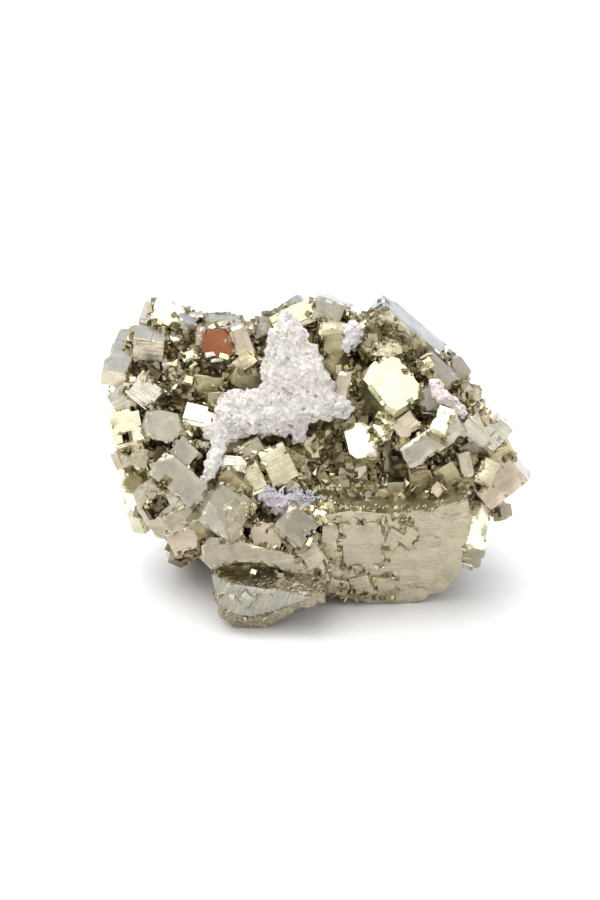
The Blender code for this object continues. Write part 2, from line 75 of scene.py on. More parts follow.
# Each finish: tint; strength of its ridges, roughness, strength of its crumbling; and the width
# of its worn edges in mm.
FINISHES = {
    "pale": ((0.66, 0.635, 0.46), (0.15, 0.10, 0.0), 0.20),
    "peak": ((0.66, 0.635, 0.47), (0.10, 0.10, 0.0), 0.42),
    "window": ((0.66, 0.64, 0.42), (0.10, 0.14, 0.2), 0.30),
    "cream": ((0.66, 0.615, 0.43), (0.20, 0.14, 0.0), 0.18),
    "brass": ((0.62, 0.565, 0.43), (0.30, 0.18, 0.1), 0.14),
    "tan": ((0.70, 0.605, 0.46), (0.30, 0.22, 0.1), 0.14),
    "grey": ((0.62, 0.585, 0.47), (0.14, 0.14, 0.0), 0.14),
    "slate": ((0.49, 0.455, 0.35), (0.14, 0.14, 0.0), 0.20),
    "ridged": ((0.66, 0.63, 0.51), (1.0, 0.14, 0.1), 0.13),
    "striped": ((0.46, 0.43, 0.35), (2.2, 0.10, 0.1), 0.16),
    "facet": ((0.44, 0.42, 0.35), (4.0, 0.10, 0.1), 0.2),
    # band: darkened as painted shade, for the foot's lower band that lies in shadow
    "band": ((0.44, 0.39, 0.28), (1.2, 0.24, 1.2), 0.13),
    "gold": ((0.66, 0.59, 0.38), (0.45, 0.18, 0.3), 0.13),
    # olive, dark and bronze: browner pyrite, darkened further as painted shade for faces that mirror
    # the crystals around them
    "olive": ((0.52, 0.47, 0.29), (0.45, 0.24, 0.2), 0.14),
    "dark": ((0.36, 0.32, 0.21), (0.40, 0.28, 0.3), 0.13),
    "bronze": ((0.46, 0.39, 0.25), (0.45, 0.28, 0.5), 0.13),
    "broken": ((0.48, 0.42, 0.27), (1.0, 0.24, 1.2), 0.13),
    "rough": ((0.54, 0.49, 0.35), (0.60, 0.26, 1.0), 0.13),
    "dull": ((0.50, 0.465, 0.40), (0.35, 0.36, 0.4), 0.13),
    # rust: its red-brown is a painted reflection of something red beside the specimen
    "rust": ((0.43, 0.17, 0.085), (0.15, 0.36, 0.5), 0.42),
    "block": ((0.56, 0.51, 0.37), (0.75, 0.20, 0.3), 0.10),
}
# Finishes with no growth plates on them.
UNPLATED = ("window", "rust", "peak", "grey", "slate", "block", "facet", "broken")
PLATE_SPACING = 2.6  # mm of a face's shorter side for each growth plate,
PLATE_SHARES = (0.25, 0.8)  # the share of the face that a plate covers each way,
PLATE_RISES = (0.12, 0.34)  # how far it stands out, in mm,
PLATE_WEAR = 0.05  # and the width of its worn edges
CHIP_SHARE, CHIP_LEAST, CHIP_MOST = 0.075, 0.08, 0.7  # chips, by the cube's smallest side; mm
CHIP_REACH = 1.1  # mm from an edge that its chips reach
CHIP_SCALE, NICK_SCALE, WAVE_SCALE = 0.42, 1.3, 0.35  # of the noise under each, per mm
FACE_WAVE = 0.05  # mm that a face waves up and down
EDGE_WEAR_AND_PAINTED_SHADE = 0.45  # how bright a worn edge is beside its face: darker for wear, and as painted shade outlining the edge
CRYSTAL_SHADES = (0.92, 1.06)  # how bright one crystal may be beside another
RIDGE_SPAN = 60  # mm: each crystal's ridges start at a place of their own within this,
FACE_GAP = 17  # and this far on for the next face

# Each crystal: the centre of its display face (across, up, out), width, height, depth in mm; spin,
# pitch and yaw in degrees; how much is cut off its corners; and its finish.
CROWN = (
    (-29.4, 29.6, -1.0, 6.6, 6.0, 8.0, -24, 30, 10, 0.9, "peak"),
    (-33.6, 29.6, -2.5, 2.6, 5.0, 5.0, -10, 25, -20, 0.5, "dull"),
    (-24.6, 29.2, -2.0, 4.6, 3.0, 5.0, 10, 50, 0, 0.0, "grey"),
    (-33.2, 21.8, 4.5, 6.4, 4.4, 7.0, -6, -28, -4, 0.4, "brass"),
    (-25.6, 25.4, 1.5, 3.4, 4.2, 8.0, -8, -28, 14, 0.0, "grey"),
    (-28.0, 24.4, 3.0, 2.4, 1.8, 5.0, -35, 30, 4, 0.0, "pale"),
    (-19.4, 27.2, -5.0, 5.2, 4.4, 8.0, 2, -4, 0, 1.6, "dark"),
    (-18.6, 26.6, 3.0, 7.0, 2.6, 8.0, -2, -10, 0, 0.5, "rough"),
    # this crystal's red-brown face is a painted reflection of something red nearby
    (-19.2, 22.8, 7.0, 6.6, 6.2, 8.0, -3, -6, 0, 1.6, "rust"),
    (-20.8, 21.2, 7.5, 2.2, 1.5, 3.0, 12, 22, 6, 0.0, "ridged"),
    (-18.0, 20.7, 7.6, 2.4, 1.3, 3.0, -16, 26, -4, 0.0, "gold"),
    (-19.5, 19.9, 7.8, 3.0, 1.0, 3.0, 4, 8, 0, 0.0, "ridged"),
    (-22.8, 24.6, 6.0, 2.0, 3.6, 6.0, -8, -8, -15, 0.0, "tan"),
    (-14.6, 23.8, 8.0, 3.6, 6.2, 8.0, 22, -8, 10, 0.0, "tan"),
    (-14.6, 26.6, -1.0, 5.0, 3.0, 8.0, -8, 4, 0, 0.6, "rough"),
    (-10.6, 26.8, -2.0, 6.0, 4.0, 8.0, 26, 2, -6, 0.0, "dull"),
    (-4.8, 29.6, -6.0, 5.6, 5.2, 9.0, 34, 0, -8, 1.4, "dull"),
    (-7.6, 28.0, 0.0, 2.8, 2.8, 6.0, 30, 22, 0, 0.0, "gold"),
    (-2.6, 29.2, -0.5, 6.2, 5.0, 8.0, 22, 16, -4, 0.0, "cream"),
    (2.4, 29.6, 1.0, 6.4, 5.0, 9.0, -20, -4, -12, 0.0, "grey"),
    (3.4, 26.0, 5.0, 5.4, 3.4, 8.0, -8, 13, 0, 0.0, "cream"),
    (4.0, 22.6, 7.0, 4.6, 5.0, 8.0, 5, -18, 0, 1.2, "olive"),
    (8.4, 27.2, 2.0, 1.8, 4.0, 7.0, 24, -5, 18, 0.0, "olive"),
    (10.6, 26.4, 4.0, 3.0, 3.6, 6.0, 35, 30, 0, 0.8, "pale"),
    (9.0, 23.0, 5.0, 4.0, 2.6, 6.0, 20, 0, 0, 0.0, "rough"),
)
GRAIN_SEED = 3
grain = random.Random(GRAIN_SEED)
noise.seed_set(GRAIN_SEED)  # without this, noise_vector would start from the time of day


def place_in_part(spin, pitch, yaw, across, up, out):
    """From a crystal's own axes, in mm, to the part's frame, in metres."""
    turn = (
        Matrix.Rotation(math.radians(yaw), 3, "Y")
        @ Matrix.Rotation(math.radians(-pitch), 3, "X")
        @ Matrix.Rotation(math.radians(spin), 3, "Z")
    )
    there = DISPLAY_ORIGIN + DISPLAY @ Vector((across, up, out))
    return Matrix.Scale(MM, 4) @ Matrix.Translation(there) @ (DISPLAY @ turn).to_4x4()


def noise_start():
    """Where one crystal reads its noise from, so that no two are uneven in the same way."""
    return Vector((grain.random(), grain.random(), grain.random())) * NOISE_SPAN


def wear(bm, edges, width):
    """Cuts the edges down to narrow faces, and returns those."""
    worn = bmesh.ops.bevel(
        bm, geom=edges, offset=width, affect="EDGES", segments=1, profile=0.5, material=-1,
        clamp_overlap=True,
    )
    return set(worn["faces"])


def sharp_edges(bm):
    """The edges of a crystal, and of its chips, that wear down."""
    return [e for e in bm.edges if len(e.link_faces) == 2 and e.calc_face_angle(0) > SHARP]


def growth_plate(bm, size):
    """A thin sheet on one face, where the crystal hasn't finished growing over it."""
    axis = grain.choice((0, 1, 2))
    side = 1 if axis == 2 else grain.choice((-1, 1))
    extent = Vector(size)
    where = Vector((0, 0, -size[2] / 2))
    for other in {0, 1, 2} - {axis}:
        share = grain.uniform(*PLATE_SHARES)
        slack = extent[other] * (1 - share) / 2
        where[other] += grain.choice((-1, 1)) * slack * grain.uniform(0.6, 1)
        extent[other] *= share
    extent[axis] = grain.uniform(*PLATE_RISES) * 2
    where[axis] += side * size[axis] / 2
    plate = bmesh.ops.create_cube(bm, size=1.0)["verts"]
    bmesh.ops.scale(bm, vec=extent, verts=plate)
    bmesh.ops.translate(bm, vec=where, verts=plate)
    wear(bm, list({e for v in plate for e in v.link_edges}), PLATE_WEAR)


def worn_cube(bm, width, height, depth, cut, worn_edge):
    """One cube in its own axes, its display face at z = 0: uneven faces, chipped edges.

    Returns the narrow faces that its worn edges make."""
    size = (width, height, depth)
    half = Vector(size) / 2
    cube = bmesh.ops.create_cube(bm, size=1.0)["verts"]
    bmesh.ops.scale(bm, vec=size, verts=cube)
    for axis in range(3):
        cuts = min(MOST_CUTS, max(2, round(size[axis] / CUT_SPACING) - 1))
        whole = size[axis] * 0.9
        across = [e for e in bm.edges if abs((e.verts[0].co - e.verts[1].co)[axis]) > whole]
        bmesh.ops.subdivide_edges(bm, edges=across, cuts=cuts, use_grid_fill=True)
    chip = min(CHIP_MOST, CHIP_SHARE * min(size) + CHIP_LEAST)
    start = noise_start()
    for v in bm.verts:
        flush = [i for i in range(3) if abs(abs(v.co[i]) - half[i]) < 1e-4]
        inwards = sorted(h - abs(c) for h, c in zip(half, v.co))[1]
        nearness = max(0.0, 1 - inwards / CHIP_REACH)
        bite = max(0.0, min(1.0, (noise.noise(v.co * CHIP_SCALE + start) - 0.08) * 5))
        nick = max(0.0, noise.noise(v.co * NICK_SCALE + start) + 0.1)
        wave = FACE_WAVE * noise.noise(v.co * WAVE_SCALE + start)
        for i in flush:
            v.co[i] -= math.copysign(chip * nearness * (bite + 0.5 * nick) + wave, v.co[i])
    if cut:
        for corner in ((a, b, c) for a in (-1, 1) for b in (-1, 1) for c in (-1, 1)):
            nook = Vector(corner)
            lean = (nook + Vector([grain.uniform(-0.4, 0.4) for _ in range(3)])).normalized()
            depth_in = Vector(h * c for h, c in zip(half, nook)) - nook * cut * 0.45
            part = bmesh.ops.bisect_plane(
                bm,
                geom=bm.verts[:] + bm.edges[:] + bm.faces[:],
                plane_co=depth_in,
                plane_no=lean,
                clear_outer=True,
            )
            rim = [e for e in part["geom_cut"] if isinstance(e, bmesh.types.BMEdge)]
            bmesh.ops.holes_fill(bm, edges=rim, sides=0)
    worn = wear(bm, sharp_edges(bm), worn_edge)
    bmesh.ops.translate(bm, vec=(0, 0, -depth / 2), verts=bm.verts)
    return worn


def paint(bm, finish, worn=(), slant=0):
    """Lays each face's ridges along one edge of the cube, or slant degrees from it, and tints it,
    darker on its worn edges for wear and as painted shade.
    """
    tint, relief, _ = FINISHES[finish]
    tint_layer = bm.faces.layers.float_color.new("tint")
    relief_layer = bm.faces.layers.float_vector.new("relief")
    uv = bm.loops.layers.uv.new("ridge_way")
    shift = (grain.uniform(0, RIDGE_SPAN), grain.uniform(0, RIDGE_SPAN))
    shade = grain.uniform(*CRYSTAL_SHADES)
    turn = Matrix.Rotation(math.radians(slant), 2)
    bm.normal_update()
    for face in bm.faces:
        # worn edges are darkened for wear and as painted shade that outlines each crystal
        darker = shade * (EDGE_WEAR_AND_PAINTED_SHADE if face in worn else 1)
        face[tint_layer] = (*[min(1, c * darker) for c in tint], 1)
        face[relief_layer] = relief
        steep = [abs(n) for n in face.normal]
        across = steep.index(max(steep))
        along = (across + 1) % 3
        square = (across + 2) % 3
        for loop in face.loops:
            spot = loop.vert.co
            start = spot[along] + shift[0] + across * FACE_GAP
            loop[uv].uv = turn @ Vector((start, spot[square] + shift[1]))


# Hollows broken or etched into the crystals, given as a crystal is, up to its yaw.
PITS = (
    (-38.0, 4.8, 9.6, 1.8, 1.8, 4.0, 14, 16, -8),
    (-31.6, -9.6, 11.0, 4.6, 3.2, 5.0, 30, -10, -10),
    (-22.6, 1.2, 13.0, 1.0, 2.6, 4.0, -12, 4, 0),
    (-30.0, -4.6, 15.0, 2.4, 1.0, 3.4, 30, 0, 0),
)
PIT_TINT = (0.26, 0.22, 0.14)
PIT_SLOPE = 0.3  # the share of a pit's half width that its sides slope over
PIT_SINK = 0.8  # the share of its depth that the surface sinks
PIT_REACH = 1.5  # mm out from the pit's own face that still belong to it


def press_pits(bm):
    """Sinks what lies inside a pit, and darkens it. The mesh is in the part's frame."""
    tint_layer = bm.faces.layers.float_color["tint"]
    for across, up, out, width, height, depth, spin, pitch, yaw in PITS:
        pit = place_in_part(spin, pitch, yaw, across, up, out)
        back = pit.inverted()
        sunk = set()
        for v in bm.verts:
            spot = back @ v.co
            far = max(abs(spot.x) / width, abs(spot.y) / height) * 2
            if far < 1 and -depth < spot.z < PIT_REACH:
                steep = min(1.0, (1 - far) / PIT_SLOPE)
                spot.z -= steep * (spot.z + depth) * PIT_SINK
                v.co = pit @ spot
                sunk.add(v)
        for face in bm.faces:
            if any(v in sunk for v in face.verts):
                face[tint_layer] = (*PIT_TINT, 1)


def new_group():
    """An empty mesh for a group of crystals, with the layers that paint() fills."""
    group = bmesh.new()
    group.faces.layers.float_color.new("tint")
    group.faces.layers.float_vector.new("relief")
    group.loops.layers.uv.new("ridge_way")
    return group


def pour(bm, group):
    """Moves what one mesh holds into the group."""
    single = bpy.data.meshes.new("single")
    bm.to_mesh(single)
    bm.free()
    group.from_mesh(single)
    bpy.data.meshes.remove(single)


def seat(bm, place, group):
    """Sets a crystal made in its own axes in its place in the group, with any pit in it."""
    bmesh.ops.transform(bm, matrix=place, verts=bm.verts)
    press_pits(bm)
    pour(bm, group)


def crystal(group, across, up, out, width, height, depth, spin, pitch, yaw, cut, finish):
    """Adds one finished cube to the group."""
    bm = bmesh.new()
    worn = worn_cube(bm, width, height, depth, cut, FINISHES[finish][2])
    plates = 0 if finish in UNPLATED else int(min(width, height) / PLATE_SPACING + grain.random())
    for _ in range(plates):
        growth_plate(bm, (width, height, depth))
    paint(bm, finish, worn)
    seat(bm, place_in_part(spin, pitch, yaw, across, up, out), group)


def grown(rows):
    """A group with a crystal for each row."""
    group = new_group()
    for row in rows:
        crystal(group, *row)
    return group


def fill(tree, target, inputs):
    """Sets a node's sockets to values, or links them to other nodes' outputs."""
    for key, value in inputs.items():
        if isinstance(value, bpy.types.NodeSocket):
            tree.links.new(value, target.inputs[key])
        else:
            target.inputs[key].default_value = value


def node(tree, kind, inputs=None, **settings):
    """A node with its settings and its sockets filled."""
    made = tree.nodes.new(kind)
    for key, value in settings.items():
        setattr(made, key, value)
    fill(tree, made, inputs or {})
    return made


def mapped(tree, value, low, high, to_low=0.0, to_high=1.0, curve="LINEAR"):
    """The value taken from one range to another, and held at its ends."""
    ends = {"From Min": low, "From Max": high, "To Min": to_low, "To Max": to_high}
    return node(
        tree, "ShaderNodeMapRange", {"Value": value, **ends}, interpolation_type=curve
    ).outputs[0]


def mixed(tree, share, *colours):
    """A mix of two colours, each another node's output or its red, green and blue."""
    first, second = (c if isinstance(c, bpy.types.NodeSocket) else (*c, 1) for c in colours)
    return node(
        tree, "ShaderNodeMix", {"Factor": share, "A": first, "B": second}, data_type="RGBA"
    ).outputs["Result"]


def brightened(tree, colour, factor):
    """The colour times the factor."""
    return node(
        tree, "ShaderNodeVectorMath", {0: colour, "Scale": factor}, operation="SCALE"
    ).outputs[0]


def new_material(name):
    """A material, its node tree and its shader."""
    material = bpy.data.materials.new(name)
    material.use_nodes = True
    return material, material.node_tree, material.node_tree.nodes["Principled BSDF"]


# The relief of a pyrite face: heights and steps in mm.
RIDGE_HEIGHT = 0.16
LEDGE_HEIGHT, LEDGE_STEP = 0.8, 0.05
TERRACE_HEIGHT, TERRACE_STEP = 0.55, 0.045
TILE_TILT, CRUMBLE_TILT = 0.055, 0.6  # mm that a tile or a grain rises for each mm across it
PIT_DEPTH = 0.12


def ridge_group():
    """Height in mm of the ridges, ledges, tilted tiles, grit and pits of a pyrite face."""
    tree = bpy.data.node_groups.new("pyrite_relief", "ShaderNodeTree")
    for name, kind in (("Way", "Vector"), ("Ridges", "Float"), ("Crumble", "Float")):
        tree.interface.new_socket(name, in_out="INPUT", socket_type="NodeSocket" + kind)
    for name in ("Height", "Pits"):
        tree.interface.new_socket(name, in_out="OUTPUT", socket_type="NodeSocketFloat")
    way = tree.nodes.new("NodeGroupInput").outputs

    def math_of(operation, *values):
        return node(
            tree, "ShaderNodeMath", dict(enumerate(values)), operation=operation
        ).outputs[0]

    def streaks(along, across, detail):
        spot = node(tree, "ShaderNodeMapping", {"Vector": way["Way"], "Scale": (along, across, 1)})
        return node(
            tree, "ShaderNodeTexNoise", {"Vector": spot.outputs[0], "Scale": 1, "Detail": detail}
        ).outputs[0]

    def stepped(height, step, heights):
        return math_of("MULTIPLY", math_of("SNAP", heights, step), height)

    def tilted(cells):
        """Each cell of a pattern as a small plane with a tilt of its own."""
        offset = node(
            tree, "ShaderNodeVectorMath", {0: way["Way"], 1: cells.outputs["Position"]},
            operation="SUBTRACT",
        )
        slope = node(
            tree, "ShaderNodeVectorMath", {0: cells.outputs["Color"], 1: (0.5, 0.5, 0.5)},
            operation="SUBTRACT",
        )
        return node(
            tree, "ShaderNodeVectorMath", {0: offset.outputs[0], 1: slope.outputs[0]},
            operation="DOT_PRODUCT",
        ).outputs["Value"]

    ridges = math_of("MULTIPLY", streaks(0.12, 1.9, 4), RIDGE_HEIGHT)
    ledges = stepped(LEDGE_HEIGHT, LEDGE_STEP, streaks(0.05, 0.45, 2))
    ridged = math_of("MULTIPLY", math_of("ADD", ridges, ledges), way["Ridges"])
    terraces = stepped(TERRACE_HEIGHT, TERRACE_STEP, streaks(0.16, 0.22, 3))
    tiles = node(
        tree, "ShaderNodeTexVoronoi", {"Vector": way["Way"], "Scale": 0.38, "Randomness": 0.9},
        distance="CHEBYCHEV",
    )
    tiled = math_of("MULTIPLY_ADD", tilted(tiles), TILE_TILT, terraces)
    grains = node(
        tree, "ShaderNodeTexVoronoi", {"Vector": way["Way"], "Scale": 1.9, "Randomness": 1.0},
        distance="CHEBYCHEV",
    )
    crumbled = math_of("MULTIPLY", tilted(grains), CRUMBLE_TILT)
    gritty = math_of("MULTIPLY", crumbled, way["Crumble"])
    dents = node(tree, "ShaderNodeTexVoronoi", {"Vector": way["Way"], "Scale": 0.7})
    dented = math_of("MULTIPLY_ADD", streaks(0.25, 0.25, 4), 2.2, -1.36)
    pits = mapped(tree, math_of("SUBTRACT", dented, dents.outputs["Distance"]), 0, PIT_DEPTH)
    sunk = math_of("MULTIPLY", pits, -PIT_DEPTH)
    total = math_of("ADD", math_of("ADD", ridged, tiled), math_of("ADD", gritty, sunk))
    node(tree, "NodeGroupOutput", {"Height": total, "Pits": pits})
    return tree


PYRITE_RELIEF = ridge_group()
TARNISH = (0.30, 0.22, 0.11)
GROUND_GAP = 0.00002  # m: what would reach below this is cut off flat
CREASE = math.radians(24)  # edges that turn by more than this aren't smoothed


def pyrite_material():
    """Brassy metal, tinted and ridged crystal by crystal, tarnished in its pits."""
    material, tree, shader = new_material("pyrite")
    way = node(tree, "ShaderNodeUVMap", uv_map="ridge_way")
    tint = node(tree, "ShaderNodeAttribute", attribute_name="tint")
    relief = node(tree, "ShaderNodeAttribute", attribute_name="relief")
    share = node(tree, "ShaderNodeSeparateXYZ", {"Vector": relief.outputs["Vector"]}).outputs
    height = node(
        tree, "ShaderNodeGroup",
        {"Way": way.outputs[0], "Ridges": share[0], "Crumble": share[2]},
        node_tree=PYRITE_RELIEF,
    )
    place = node(tree, "ShaderNodeTexCoord").outputs["Object"]
    cloud = node(tree, "ShaderNodeTexNoise", {"Vector": place, "Scale": 260, "Detail": 4})
    mottle = mapped(tree, cloud.outputs[0], 0.3, 0.7, 0.82, 1.08)
    metal = brightened(tree, tint.outputs["Color"], mottle)
    rough = node(
        tree, "ShaderNodeMath", {0: cloud.outputs[0], 1: 0.16, 2: share[1]},
        operation="MULTIPLY_ADD",
    )
    bump = node(
        tree, "ShaderNodeBump",
        {"Height": height.outputs["Height"], "Strength": 0.9, "Distance": MM},
    )
    fill(tree, shader, {
        "Metallic": 1.0,
        "Base Color": mixed(tree, height.outputs["Pits"], metal, TARNISH),
        "Roughness": rough.outputs[0],
        "Normal": bump.outputs[0],
    })
    return material


PYRITE = pyrite_material()


def within_box(place):
    """An uneven surface may bulge a little, but not past the solid's own box."""
    return [min(max(c, low), high) for c, low, high in zip(place, *cad_box)]


def new_shape(name, bm, material):
    """Turns a mesh into an object of the scene, in one material."""
    mesh = bpy.data.meshes.new(name)
    bm.to_mesh(mesh)
    bm.free()
    mesh.materials.append(material)
    shape = bpy.data.objects.new(name, mesh)
    bpy.context.scene.collection.objects.link(shape)
    return shape


def finish_group(name, group, material, *replaced):
    """Makes the group one piece that rides with the specimen and stands for the solid."""
    bmesh.ops.bisect_plane(
        group,
        geom=group.verts[:] + group.edges[:] + group.faces[:],
        plane_co=(0, 0, GROUND_GAP),
        plane_no=(0, 0, -1),
        clear_outer=True,
    )
    rims = [e for e in group.edges if e.is_boundary]
    bmesh.ops.holes_fill(group, edges=rims, sides=0)
    for v in group.verts:
        v.co = within_box(v.co)
    shape = new_shape(name, group, material)
    shape.data.shade_smooth()
    shape.data.set_sharp_from_angle(angle=CREASE)
    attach(shape, "root")
    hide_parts(*replaced)
    return shape


finish_group("crown", grown(CROWN), PYRITE, "pyrite_cluster")

# ---------------------------------------------------------------------------------------------
# The left flank: loose cubes of pyrite down the left side, some bright, some deeply ridged, one
# with a pit etched in its face. Each is rooted in the mass behind it.
# ---------------------------------------------------------------------------------------------
LEFT_FLANK = (
    (-40.2, 16.0, 5.0, 5.4, 4.2, 15.0, -8, -35, -18, 0.6, "brass"),
    (-36.6, 25.0, 0.0, 2.2, 3.0, 3.0, -12, 30, 0, 0.0, "gold"),
    (-33.8, 14.0, 8.0, 6.4, 6.0, 7.0, -38, 22, -8, 0.0, "striped"),
    (-38.0, 12.0, 6.0, 6.0, 5.0, 6.0, 30, -8, -20, 0.0, "ridged"),
    (-37.4, 6.4, 8.0, 6.0, 7.6, 9.0, 14, 16, -8, 0.5, "cream"),
    (-30.2, 6.8, 10.0, 8.0, 6.0, 8.0, -12, 0, 6, 1.6, "grey"),
    (-23.2, 8.8, 10.0, 5.8, 4.8, 6.0, -15, 30, 2, 0.0, "pale"),
    (-25.2, 5.8, 10.0, 2.4, 3.0, 4.0, -15, 30, 2, 0.0, "pale"),
    (-25.6, 1.8, 12.0, 4.8, 4.8, 6.0, -40, 2, -4, 0.0, "grey"),
    (-22.4, 2.8, 11.5, 2.8, 2.4, 4.0, -12, 4, 0, 0.0, "grey"),
    (-38.8, 0.0, 5.0, 3.6, 3.6, 5.0, 18, -14, -20, 0.0, "tan"),
    (-35.0, 0.6, 8.0, 4.0, 4.0, 5.0, -15, -6, -8, 0.0, "rough"),
    (-24.8, 20.8, 4.0, 3.8, 2.2, 3.0, 22, 30, 0, 0.0, "pale"),
    (-28.2, 16.8, 7.0, 2.8, 6.0, 6.0, 22, -2, 0, 0.0, "grey"),
    (-25.4, 16.0, 8.5, 2.6, 2.2, 3.0, -14, 30, 0, 0.0, "gold"),
    (-27.6, 18.0, 9.0, 1.7, 2.1, 2.4, -10, 8, 0, 0.0, "brass"),
    # these two olive cubes are darkened as painted shade, for faces that mirror the crystals over them
    (-21.8, 14.6, 6.0, 7.2, 4.6, 6.0, -6, -20, 5, 0.0, "olive"),
    (-20.2, 11.8, 8.0, 3.6, 3.4, 5.0, 4, -12, -12, 0.0, "olive"),
    (-13.6, 16.4, 7.0, 6.0, 5.0, 7.0, -25, -18, 12, 1.4, "olive"),
    (-14.0, 19.6, 8.0, 4.4, 3.2, 4.0, 38, 10, -10, 0.0, "gold"),
)
finish_group("left_flank", grown(LEFT_FLANK), PYRITE, "pyrite_cluster")

# ---------------------------------------------------------------------------------------------
# The lower left: the biggest free cubes of pyrite, with the hollow lip and the bright crystal
# outside them. The lip and that crystal grew in shapes of their own, not as cubes.
# ---------------------------------------------------------------------------------------------
LOWER_LEFT = (
    (-26.8, -4.0, 13.0, 12.0, 6.0, 10.0, -40, 2, -3, 1.2, "grey"),
    (-17.0, -10.2, 17.0, 9.0, 9.6, 12.0, -32, 6, 22, 0.8, "slate"),
    (-25.0, -15.4, 10.5, 8.4, 4.8, 8.0, 25, -14, -2, 0.0, "tan"),
    (-26.6, -11.8, 11.5, 6.4, 4.6, 7.0, 28, -10, 0, 0.0, "brass"),
    (-12.2, -3.8, 13.0, 4.4, 6.2, 9.0, 25, 10, -4, 0.0, "cream"),
    (-7.2, -1.0, 14.0, 5.6, 8.2, 9.0, 25, 10, 2, 0.0, "cream"),
    (-16.2, -0.6, 14.0, 5.4, 3.2, 5.0, -6, 20, 0, 0.9, "ridged"),
    (-15.8, 1.4, 12.5, 6.0, 2.2, 4.0, 8, -25, 0, 0.0, "rough"),
    (-12.6, 1.8, 12.8, 5.0, 4.0, 5.0, 30, -5, 0, 0.0, "rough"),
    (-16.2, -5.0, 14.5, 4.0, 6.6, 5.0, 42, -25, -10, 0.9, "bronze"),
    (-5.0, -4.8, 13.5, 3.0, 3.4, 5.0, 38, 0, 0, 0.0, "grey"),
    (-9.8, -15.6, 15.0, 6.4, 6.8, 8.0, -4, -6, -12, 0.0, "tan"),
    (-6.6, -14.8, 15.5, 2.0, 7.4, 6.0, 32, 0, -30, 0.0, "dark"),
    (-3.6, -12.8, 18.0, 7.0, 7.4, 8.0, -40, 2, 10, 0.8, "slate"),
    (-1.4, -16.6, 17.0, 1.6, 6.0, 5.0, -52, 0, 0, 0.0, "bronze"),
    (-0.8, -19.2, 17.0, 4.6, 4.8, 6.0, 30, -12, 0, 0.0, "brass"),
    (0.6, -10.4, 17.5, 3.2, 1.8, 3.0, -32, 30, 0, 0.0, "pale"),
    (2.2, -9.2, 15.0, 3.4, 3.2, 4.0, 15, 22, 10, 0.0, "gold"),
    (-17.2, -9.2, 17.4, 2.0, 1.4, 2.0, -20, 30, 0, 0.0, "pale"),
)
# Out, pitch and yaw of the face, the depth behind it, its corners (across, up), the finish.
OUTLINE_CHIP = 0.7  # mm that the edges of an outlined crystal are chipped at most
LIP = (
    10.0, -12, -14, 12.0,
    ((-36.2, -6.6), (-35.6, -9.6), (-33.6, -13.0), (-31.4, -15.6), (-29.4, -16.0),
     (-27.0, -18.6), (-23.8, -17.6), (-21.0, -16.0), (-22.0, -13.6), (-23.8, -11.0),
     (-26.0, -8.0), (-32.6, -3.8), (-35.0, -5.0)),
    "brass",
)
BRIGHT_OUTER = (
    2.0, 28, -8, 9.0,
    ((-39.2, -1.2), (-38.8, -6.0), (-37.6, -10.4), (-35.0, -10.8), (-31.0, -8.0),
     (-31.0, -2.0), (-36.0, -0.6)),
    "pale",
)

# On one of the biggest cubes: a ridged facet along its left edge, and a patch of broken growth.
CUBE_FACET = (
    18.55, 6, 22, 1.2,
    ((-22.8, -11.8), (-20.8, -8.0), (-19.2, -9.6), (-17.8, -12.8), (-17.0, -15.8), (-18.6, -14.8)),
    "ridged",
)
CUBE_PATCH = (
    16.5, 6, 22, 1.2,
    ((-18.2, -9.0), (-15.8, -7.8), (-11.4, -8.6), (-13.0, -11.4), (-15.4, -15.8), (-16.8, -15.6),
     (-17.4, -12.4)),
    "rough",
)


def outlined_crystal(group, out, pitch, yaw, depth, corners, finish, unevenness=0.10, slant=0):
    """Adds a crystal whose face has the given corners as the display side shows them."""
    turn = Matrix.Rotation(math.radians(yaw), 3, "Y") @ Matrix.Rotation(math.radians(-pitch), 3, "X")
    normal = turn @ Vector((0, 0, 1))
    low = Vector(min(c[i] for c in corners) for i in (0, 1))
    high = Vector(max(c[i] for c in corners) for i in (0, 1))
    middle = (low + high) / 2
    bm = bmesh.new()
    rim = []
    for corner in corners:
        slide = Vector(corner) - middle
        raised = -(slide.x * normal.x + slide.y * normal.y) / normal.z
        rim.append(bm.verts.new(turn.transposed() @ Vector((slide.x, slide.y, raised))))
    face = bm.faces.new(rim)
    back = bmesh.ops.extrude_face_region(bm, geom=[face])
    behind = [v for v in back["geom"] if isinstance(v, bmesh.types.BMVert)]
    bmesh.ops.translate(bm, vec=(0, 0, -depth), verts=behind)
    bmesh.ops.recalc_face_normals(bm, faces=bm.faces)
    bmesh.ops.triangulate(bm, faces=bm.faces)
    for _ in range(5):
        long = [e for e in bm.edges if e.calc_length() > CUT_SPACING * 1.5]
        bmesh.ops.subdivide_edges(bm, edges=long, cuts=1, use_grid_fill=True)
        bmesh.ops.triangulate(bm, faces=bm.faces)
    start = noise_start()
    bm.normal_update()
    corner_verts = {v for e in bm.edges if e.calc_face_angle(0) > 0.5 for v in e.verts}
    moves = []
    for v in bm.verts:
        wave = noise.noise(v.co * 0.4 + start)
        ledge = round(3 * noise.noise(Vector((v.co.x * 0.14, v.co.y * 0.3, 0)) + start)) * unevenness
        if v in corner_verts:
            ledge -= OUTLINE_CHIP * max(0.0, noise.noise(v.co * 0.6 + start) + 0.25)
        moves.append(v.normal * (unevenness * wave + min(0.0, ledge)))
    for v, move in zip(bm.verts, moves):
        v.co += move
    worn = wear(bm, sharp_edges(bm), FINISHES[finish][2])
    paint(bm, finish, worn, slant)
    seat(bm, place_in_part(0, pitch, yaw, *middle, out), group)


lower_left = grown(LOWER_LEFT)
outlined_crystal(lower_left, *LIP)
outlined_crystal(lower_left, *BRIGHT_OUTER)
outlined_crystal(lower_left, *CUBE_FACET, slant=60)
outlined_crystal(lower_left, *CUBE_PATCH, unevenness=0.2, slant=-40)
finish_group("lower_left", lower_left, PYRITE, "pyrite_cluster")

